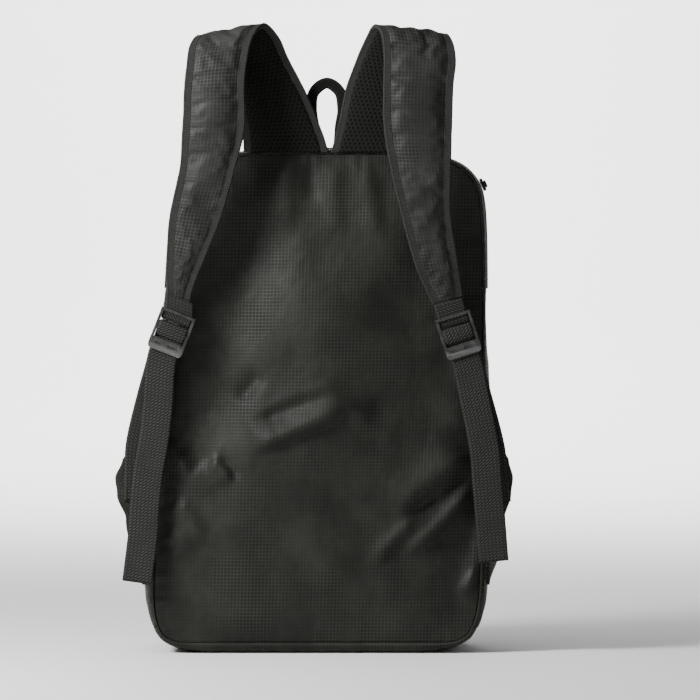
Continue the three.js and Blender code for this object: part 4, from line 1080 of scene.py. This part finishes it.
def strap_surface(strap, seed):
    """Shared grid of a strap's face: shares along and across, its half width, pinch and puckers."""
    t = np.linspace(0, 1, STRAP_ROWS_FINE)
    at = strap.at(t)
    share = np.linspace(-1, 1, STRAP_COLUMNS)[None, :]
    half = (at["width"] / 2 - BINDING_WIDE - PAD_GAP - FOLD_GAP + TUCK)[:, None]
    length = strap.length_at(t)[:, None]
    share, half, length = np.broadcast_arrays(share, half, length)
    pinch = strap_pinch(t)[:, None]
    ripple = waves(vec(length, share * 6, 0 * length), 9, seed)
    broad = waves(vec(length, share * 12, 0 * length), 24, seed + 1)
    edge_near = np.abs(share) ** 3
    pucker = 0.8 * ripple * (0.35 + edge_near) + 1.2 * broad * (1 - edge_near)
    folds = np.cos(2 * np.pi * (length / 23 + 0.35 * waves(vec(length, share * 20, 5), 60, seed + 2)))
    pucker = pucker - 0.9 * np.maximum(folds - 0.5, 0) / 0.5 * (0.5 + 0.5 * np.abs(share))
    return at, share, half, length, pinch, pucker * smooth((1 - np.abs(share)) / 0.12) * pinch


def puff(piece, sewn, frames=16, pressure=4.0, cap=2.2):
    """Fills a pad with a short cloth simulation between its sewn points."""
    mesh = piece.data
    rest = np.empty(len(mesh.vertices) * 3)
    mesh.vertices.foreach_get("co", rest)
    group = piece.vertex_groups.new(name="sewn")
    group.add([int(i) for i in np.flatnonzero(sewn)], 1.0, "REPLACE")
    cloth = piece.modifiers.new("fill", "CLOTH")
    cloth.settings.quality = 6
    cloth.settings.mass = 0.2
    cloth.settings.tension_stiffness = 12
    cloth.settings.compression_stiffness = 12
    cloth.settings.shear_stiffness = 6
    cloth.settings.bending_stiffness = 0.3
    cloth.settings.shrink_min = -0.045
    cloth.settings.use_pressure = True
    cloth.settings.uniform_pressure_force = pressure
    cloth.settings.vertex_group_mass = "sewn"
    cloth.settings.effector_weights.gravity = 0
    cloth.collision_settings.use_collision = False
    scene = bpy.context.scene
    for step in range(1, frames + 1):
        scene.frame_set(step)
    evaluated = piece.evaluated_get(bpy.context.evaluated_depsgraph_get())
    moved = np.empty(len(evaluated.data.vertices) * 3)
    evaluated.data.vertices.foreach_get("co", moved)
    shift = (moved - rest).reshape(-1, 3)
    far = np.linalg.norm(shift, axis=1, keepdims=True)
    shift *= np.minimum(1, cap * METRE / np.maximum(far, 1e-9))
    piece.modifiers.remove(cloth)
    piece.vertex_groups.remove(group)
    scene.frame_set(1)
    mesh.vertices.foreach_set("co", (rest.reshape(-1, 3) + shift).ravel())
    mesh.update()


def make_pad(strap, seed):
    """The strap's filled ripstop face."""
    at, share, half, length, pinch, pucker = strap_surface(strap, seed)
    lift = pad_half(share) * pinch
    front = strap_points(at, share * half, lift + pucker + 0.25)
    rear = strap_points(at, share * half, -lift + (LINING_THICK + PAD_GAP) * pinch)
    uv = vec(length, share * half)
    pad = wall_object(f"strap_pad_cloth_{strap.name}", front, rear, STRAP_RIPSTOP, uv)
    sewn = np.zeros(front.shape[:2], bool)
    sewn[:, :2] = sewn[:, -2:] = True
    sewn[:3] = sewn[-3:] = True
    puff(pad, np.concatenate([sewn.ravel(), np.ones(sewn.size, bool)]))
    finer = pad.modifiers.new("finer", "SUBSURF")
    finer.levels = finer.render_levels = 1
    settle(pad, "strap_ripstop", f"strap_pad_{strap.name}", padded=0.5)


def make_lining(strap, seed):
    """The air mesh on the strap's inner side."""
    at, share, half, length, pinch, pucker = strap_surface(strap, seed + 20)
    rear = -pad_half(share) * pinch
    swell = 0.5 * np.maximum(pucker, 0)
    outer = strap_points(at, share * half, rear - swell)
    inner = strap_points(at, share * half, rear + LINING_THICK * pinch)
    uv = vec(length, share * half)
    settle(wall_object(f"strap_mesh_knit_{strap.name}", outer, inner, AIR_MESH, uv), "air_mesh",
           f"strap_mesh_{strap.name}")


def binding_section():
    """A flat strip with rounded sides: shares of its width and of its half thickness."""
    turns = np.linspace(-np.pi / 2, np.pi / 2, 6)
    right = np.stack([0.36 + 0.14 * np.cos(turns), np.sin(turns)], axis=1)
    top = np.array([[0.18, 1.0], [0.0, 1.0], [-0.18, 1.0]])
    return np.concatenate([right, top, -right, -top])


def make_binding(strap, which, seed):
    """The tape that binds one edge of a strap."""
    side = -1 if which == "inner" else 1
    t = np.linspace(0, 1, STRAP_ROWS_FINE * 2)
    at = strap.at(t)
    length = strap.length_at(t)
    section = binding_section()
    middle = at["width"] / 2 - BINDING_WIDE / 2
    sway = 0.35 * waves(vec(length, 0 * length, seed), 16, seed)
    wide = BINDING_WIDE * (1 + 0.05 * waves(vec(length, 3, seed), 11, seed + 1))
    thick = STRAP_EDGE_THICK / 2 * strap_pinch(t) * (1.02 + 0.16 * waves(vec(length, 6, seed), 7, seed + 2))
    across = side * ((middle + sway)[:, None] + section[None, :, 0] * wide[:, None])
    out = section[None, :, 1] * thick[:, None]
    rings = strap_points(at, across, out)
    uv = vec(length[:, None], section[None, :, 0] * BINDING_WIDE)
    settle(loft_object(f"strap_binding_tape_{which}_{strap.name}", rings, BINDING, uv), "binding",
           f"strap_binding_{which}_{strap.name}")


def make_strap_stitches(strap):
    """Two seams along each binding, on both faces, and three across the strap's lower end."""
    t = np.linspace(0.004, 0.994, 320)
    at = strap.at(t)
    thick = STRAP_EDGE_THICK / 2 * strap_pinch(t)
    lines = []
    for side in (-1, 1):
        for place in (0.17, 0.8):
            across = side * (at["width"] / 2 - BINDING_WIDE * place)
            for face in (-1, 1):
                lines.append(strap_points(at, across[:, None], face * (thick * 1.06)[:, None])[:, 0])
    share = np.linspace(-0.9, 0.9, 30)
    for place in (0.965, 0.98, 0.992):
        end = strap.at(np.array([place]))
        half = end["width"] / 2 - BINDING_WIDE
        lift = pad_half(share) * strap_pinch(np.array([place])) + 0.3
        lines.append(strap_points(end, (share * half)[None, :], lift[None, :])[0])
    stitches(f"strap_stitches_{strap.name}", lines)


for seed, strap in enumerate(STRAPS.values()):
    make_pad(strap, 51 + seed)
    make_lining(strap, 55 + seed)
    make_binding(strap, "inner", 61 + seed)
    make_binding(strap, "outer", 65 + seed)
    make_strap_stitches(strap)


# Buckles and their webbing
BUCKLE_TOP = BUCKLE_HIGH / 2
LIP_TOP = BUCKLE_TOP - LIP_DOWN
GRIP_UP = BUCKLE_TOP - GRIP_BAR_DOWN
HANG_UP = BUCKLE_TOP - HANG_BAR_DOWN


class Buckle:
    """A ladder-lock's own axes: across, up along the webbing, out towards the wearer."""

    def __init__(self, strap):
        facts = SIDES[strap.name]
        sign = facts["sign"]
        end = {key: value[0] for key, value in strap.at(np.array([1.0])).items()}
        turn = math.radians(sign * facts["lean"])
        self.lean = sign * facts["lean"]
        self.up = np.array([-math.sin(turn), 0, math.cos(turn)])
        self.across = np.array([math.cos(turn), 0, math.sin(turn)])
        self.middle = end["middle"] - self.up * (BUCKLE_TOP + WEBBING_SHOWN)
        self.middle = self.middle - np.array([sign * facts["inwards"], HANG_BAR_BEHIND, 0])
        self.slant = (end["middle"] - self.middle) @ self.across / WEBBING_SHOWN
        self.tilt = (end["across"] @ self.up) / (end["across"] @ self.across)

    def at(self, across, up, out):
        place = self.middle + np.multiply.outer(across, self.across) + np.multiply.outer(up, self.up)
        return place - np.multiply.outer(out, np.array([0, 1.0, 0]))


BUCKLES = {name: Buckle(strap) for name, strap in STRAPS.items()}


def bevelled(name, node, material, width):
    """A node's own shape with its edges rounded off."""
    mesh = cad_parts[node].data.copy()
    mesh.name = name
    work = bmesh.new()
    work.from_mesh(mesh)
    bmesh.ops.remove_doubles(work, verts=work.verts, dist=1e-6)
    bmesh.ops.dissolve_limit(work, angle_limit=math.radians(1), verts=work.verts, edges=work.edges)
    work.to_mesh(mesh)
    work.free()
    mesh.materials.clear()
    mesh.materials.append(material)
    rough = linked(name + "_rough", mesh)
    edges = rough.modifiers.new("rounded", "BEVEL")
    edges.width = width * METRE
    edges.segments = 3
    edges.limit_method = "ANGLE"
    edges.angle_limit = math.radians(28)
    return settle(plain_piece(name, rough, material), "plastic", node)


def make_short_webbing(buckle, name):
    """The webbing from the strap's end round the buckle's hang bar and back."""
    inner = HANG_BAR_RADIUS + GAP
    top = BUCKLE_TOP + WEBBING_SHOWN - WEBBING_END_GAP
    climb = np.linspace(top, BUCKLE_TOP, 10)
    half_turn = np.linspace(np.pi, 2 * np.pi, 15)
    ups = np.concatenate([climb, np.full_like(half_turn, HANG_UP), climb[::-1]])
    angles = np.concatenate([np.full_like(climb, np.pi), half_turn, np.full_like(climb, 2 * np.pi)])
    above = np.maximum(0, ups - BUCKLE_TOP)
    ribbon = np.linspace(-0.5, 0.5, 14)
    both = np.concatenate([vec(ribbon, 1), vec(ribbon[::-1], 0)])
    rings, uv = [], []
    travel = 0
    for up, angle, high in zip(ups, angles, above):
        radius = inner + WEBBING_THICK * both[:, 1]
        across = high * buckle.slant + both[:, 0] * WEBBING_WIDE
        tilt = both[:, 0] * buckle.tilt * WEBBING_WIDE * high / WEBBING_SHOWN
        raised = up + radius * math.sin(angle) + tilt
        rings.append(buckle.at(across, raised, -HANG_BAR_BEHIND + radius * math.cos(angle)))
        if len(rings) > 1:
            travel += np.linalg.norm(rings[-1].mean(axis=0) - rings[-2].mean(axis=0))
        uv.append(vec(travel, both[:, 0] * WEBBING_WIDE))
    piece = loft_object(f"short_webbing_band_{name}", np.array(rings), WEBBING, np.array(uv))
    settle(piece, "webbing", f"strap_webbing_{name}")


def wing_point(name, up, reach):
    """A point in the middle of a wing tab's thickness, at shares of its height and reach."""
    facts = SIDES[name]
    sign, wing = facts["sign"], facts["wing"]
    along = mix(WING_LOW, WING_HIGH, up)
    across = WING_BEHIND / depth_at(edge(along)[1])
    side = np.full(np.shape(along), sign)
    root = edge_wall(along, side, across) + edge_wall_out(along, side, across) * (CLOTH + GAP)
    far = read_table(WING_ROWS, "up", up, "reach") * wing
    forward = WING_FORWARD * smooth(far * reach / WING_BEND)
    return root + vec(sign * far * reach, -forward, 0 * forward)


def adjuster_stations(name):
    """The long webbing's route as built: its places and its lean in degrees."""
    facts, buckle = SIDES[name], BUCKLES[name]
    sign, tail, wing = facts["sign"], facts["tail"], facts["wing"]
    clear = GRIP_BAR_THICK / 2 + GAP + WEBBING_THICK / 2
    bottom = buckle.at(0, -BUCKLE_TOP, 0)
    behind_lip = -LIP_BACK - GAP - WEBBING_THICK / 2
    behind_tail = behind_lip - GAP - WEBBING_THICK
    anchor = wing_point(name, np.array(SEWN_UP), np.array(SEWN_OUT))
    front = wing_point(name, np.array(SEWN_UP), np.array(1.0))[1]
    anchor[1] = front - WING_THICK / 2 - GAP - WEBBING_THICK / 2
    run_top = buckle.at(0, -BUCKLE_TOP, behind_tail)
    stations = []
    for rise, bow, turn in zip(*RUN_ROWS.values()):
        stations.append((mix(anchor, run_top, rise) + np.array([sign * bow * wing, 0, 0]), sign * turn))
    turn_centre = GRIP_UP + GRIP_BAR_HIGH / 2 + GAP + WEBBING_THICK / 2 - clear
    grip_foot = GRIP_UP - GRIP_BAR_HIGH / 2
    inside = [(-BUCKLE_TOP, behind_tail), (LIP_TOP, behind_tail), (grip_foot, -clear)]
    for angle in np.linspace(math.pi, 0, 7):
        inside.append((turn_centre + clear * math.sin(angle), clear * math.cos(angle)))
    inside += [
        (grip_foot + GRIP_ROUND, clear), (mix(grip_foot, LIP_TOP, 0.5), mix(behind_lip, clear, 0.6)),
        (LIP_TOP - GAP * 2, behind_lip), (-BUCKLE_TOP, behind_lip),
    ]
    stations += [(buckle.at(0, up, out), buckle.lean) for up, out in inside]
    for down, outward, turn in zip(*TAIL_ROWS[name].values()):
        place = bottom + np.array([sign * outward * tail, -behind_lip + down * TAIL_BACK, -down * tail])
        stations.append((place, sign * turn))
    return np.array([s[0] for s in stations]), np.array([s[1] for s in stations], float)


def make_adjuster(name, seed):
    """The long webbing: from the wing tab up, round the buckle's grip bar, and hanging."""
    places, turns = adjuster_stations(name)
    each = 8
    line = route_through(places, each)
    turn = np.radians(np.interp(np.arange(len(line)) / each, np.arange(len(turns)), turns))
    way = unit(np.gradient(line, axis=0))
    across = vec(np.cos(turn), 0 * turn, np.sin(turn))
    out = unit(np.cross(across, way))
    travel = travelled(line)
    ribbon = np.linspace(-0.5, 0.5, 16)
    round_edge = np.sqrt(np.clip(1 - (2 * np.abs(ribbon)) ** 14, 0.15, 1))
    side = np.concatenate([ribbon, ribbon[::-1]])
    half = np.concatenate([round_edge, -round_edge[::-1]]) * WEBBING_THICK / 2
    hanging = smooth((travel - travel[(len(places) - len(TAIL_ROWS[name]["down"])) * each]) / 25)
    curl = 0.7 * hanging[:, None] * waves(vec(travel[:, None], side[None, :] * 9, seed), 45, seed)
    rings = line[:, None] + across[:, None] * (side * WEBBING_WIDE)[None, :, None]
    rings = rings + out[:, None] * (half[None, :] + curl)[..., None]
    uv = vec(travel[:, None], (side * WEBBING_WIDE)[None, :])
    piece = loft_object(f"adjuster_webbing_band_{name}", rings, WEBBING, uv)
    settle(piece, "webbing", f"adjuster_webbing_{name}")
    lines = []
    for from_end in (1.5, 6.5):
        i = int(np.searchsorted(travel, from_end))
        spread = across[i] * (np.linspace(-0.42, 0.42, 20) * WEBBING_WIDE)[:, None]
        lines.append(line[i] + spread + out[i] * 0.7)
        lines.append(line[i] + spread - out[i] * 0.7)
    stitches(f"webbing_stitches_{name}", lines, "webbing")


def make_wing(name, seed):
    """The ripstop tab in the side seam that the long webbing is sewn to."""
    up = np.linspace(0, 1, 60)[:, None]
    reach = np.linspace(0, 1, 22)[None, :]
    up, reach = np.broadcast_arrays(up, reach)
    base = wing_point(name, up, reach)
    soft = 1.1 * waves(base, 24, seed) * reach + 0.5 * waves(base, 10, seed + 1) * reach
    length = mix(WING_LOW, WING_HIGH, up) * HALF_LENGTH
    face = base + vec(0 * soft, soft, 0 * soft)
    thick = np.array([0, WING_THICK / 2, 0])
    uv = vec(length, reach * SIDES[name]["wing"])
    settle(wall_object(f"wing_tab_cloth_{name}", face - thick, face + thick, WALL_RIPSTOP, uv), "ripstop",
           f"wing_tab_{name}")
    line = wing_point(name, np.linspace(0.05, 0.97, 60), np.full(60, 0.86)) - thick * 1.5
    stitches(f"wing_stitches_{name}", [line])


for seed, name in enumerate(SIDES):
    bevelled(f"ladder_lock_moulding_{name}", f"ladder_lock_{name}", PLASTIC, width=0.42)
    make_short_webbing(BUCKLES[name], name)
    make_adjuster(name, 71 + seed)
    make_wing(name, 75 + seed)
bevelled("zipper_slider_casting", "zipper_slider", SLIDER_PAINT, width=0.3)


# Grab loop
def make_grab_loop():
    """The hanging loop between the strap roots, a band with a rounded oblong section."""
    foot = edge_wall(np.array([1.0]), np.array([1.0]), np.array([LOOP_BEHIND / DEPTH_TOP]))[0]
    base = foot[2] + CLOTH + GAP * 2
    high = BASE_DROP + BACK_HEIGHT + LOOP_HIGH - base
    points = vec(LEAN - LOOP_ASIDE + LOOP_ROWS["side"] * LOOP_HALF, foot[1], base + LOOP_ROWS["up"] * high)
    line = route_through(points, 12)
    way = unit(np.gradient(line, axis=0))
    inwards = np.cross(way, np.array([0, 1.0, 0]))
    travel = travelled(line)
    angles = np.linspace(0, 2 * np.pi, 20, endpoint=False)
    oblong = 0.62  # below 1 the oval section fills out towards an oblong
    wide = np.sign(np.cos(angles)) * np.abs(np.cos(angles)) ** oblong * LOOP_BAND / 2
    thick = np.sign(np.sin(angles)) * np.abs(np.sin(angles)) ** oblong * LOOP_THICK / 2
    wobble = 1 + 0.05 * waves(vec(travel[:, None], angles[None, :], 3), 9, 81)
    rings = line[:, None] + inwards[:, None] * (wide[None, :] * wobble)[..., None]
    rings = rings + np.array([0, 1.0, 0]) * (thick[None, :] * wobble)[..., None]
    uv = vec(travel[:, None], wide[None, :])
    settle(loft_object("grab_loop_band", rings, LOOP_TAPE, uv), "strap_ripstop", "grab_loop")
    lines = []
    for side in (-0.32, 0.32):
        for face in (-1, 1):
            lines.append(line + inwards * side * LOOP_BAND + np.array([0, face * LOOP_THICK * 0.49, 0]))
    stitches("grab_loop_stitches", lines)


make_grab_loop()


# Floor, light and camera
def make_stage():
    """A pale floor that curves up into the wall behind."""
    depth = np.array([-5.0, -2.2, 0.2, 2.4, 4.2, 4.9, 5.3, 5.45, 5.5])
    rise = np.array([0, 0, 0, 0, 0.1, 0.45, 1.0, 1.9, 4.0])
    points = [(x, y, z) for x in (-5.0, 5.0) for y, z in zip(depth, rise)]
    count = len(depth)
    faces = [(i, i + 1, count + i + 1, count + i) for i in range(count - 1)]
    mesh = bpy.data.meshes.new("floor_sweep")
    mesh.from_pydata(points, [], faces)
    smooth_shaded(mesh)
    pale = Finish("pale_floor", 0.9, specular=0.1)
    mesh.materials.append(pale.done(pale.blend(pale.noise(400, 2), (0.9, 0.9, 0.89), (0.93, 0.93, 0.92))))
    floor = linked("floor_sweep", mesh)
    finer = floor.modifiers.new("rounder", "SUBSURF")
    finer.levels = finer.render_levels = 2


def soft_light(name, place, aim, size, power):
    lamp = bpy.data.lights.new(name, "AREA")
    lamp.shape, lamp.size, lamp.energy = "DISK", size, power
    light = linked(name, lamp)
    light.location = place
    light.rotation_euler = (Vector(aim) - Vector(place)).to_track_quat("-Z", "Y").to_euler()


def make_camera():
    """Straight on, 3.5 m from the back seam, with 588 mm across the picture there."""
    distance, across, sensor = 3.5, 0.588, 36
    lens = bpy.data.cameras.new("camera")
    lens.sensor_width = sensor
    lens.lens = sensor * distance / across
    lens.clip_end = 30
    camera = linked("camera", lens)
    aside, high = 29.4, 254.9
    camera.location = ((ORIGIN[0] + aside) * METRE, ORIGIN[1] * METRE - distance, high * METRE)
    camera.rotation_euler = (math.pi / 2, 0, 0)
    bpy.context.scene.camera = camera


make_stage()
soft_light("key", (-0.82, -0.64, 0.82), (0, 0, 0.32), size=0.45, power=28)
soft_light("fill", (1.9, -2.0, 0.9), (0, 0, 0.25), size=1.6, power=2)
soft_light("top", (-0.3, -0.6, 2.6), (0, -0.3, 0), size=1.6, power=13)
soft_light("wall", (0.0, 3.0, 3.0), (0, 5.4, 0.5), size=2.4, power=380)
world = bpy.data.worlds.new("soft_room")
world.use_nodes = True
world.node_tree.nodes["Background"].inputs["Color"].default_value = (0.95, 0.97, 1, 1)
world.node_tree.nodes["Background"].inputs["Strength"].default_value = 0.14
bpy.context.scene.world = world
make_camera()
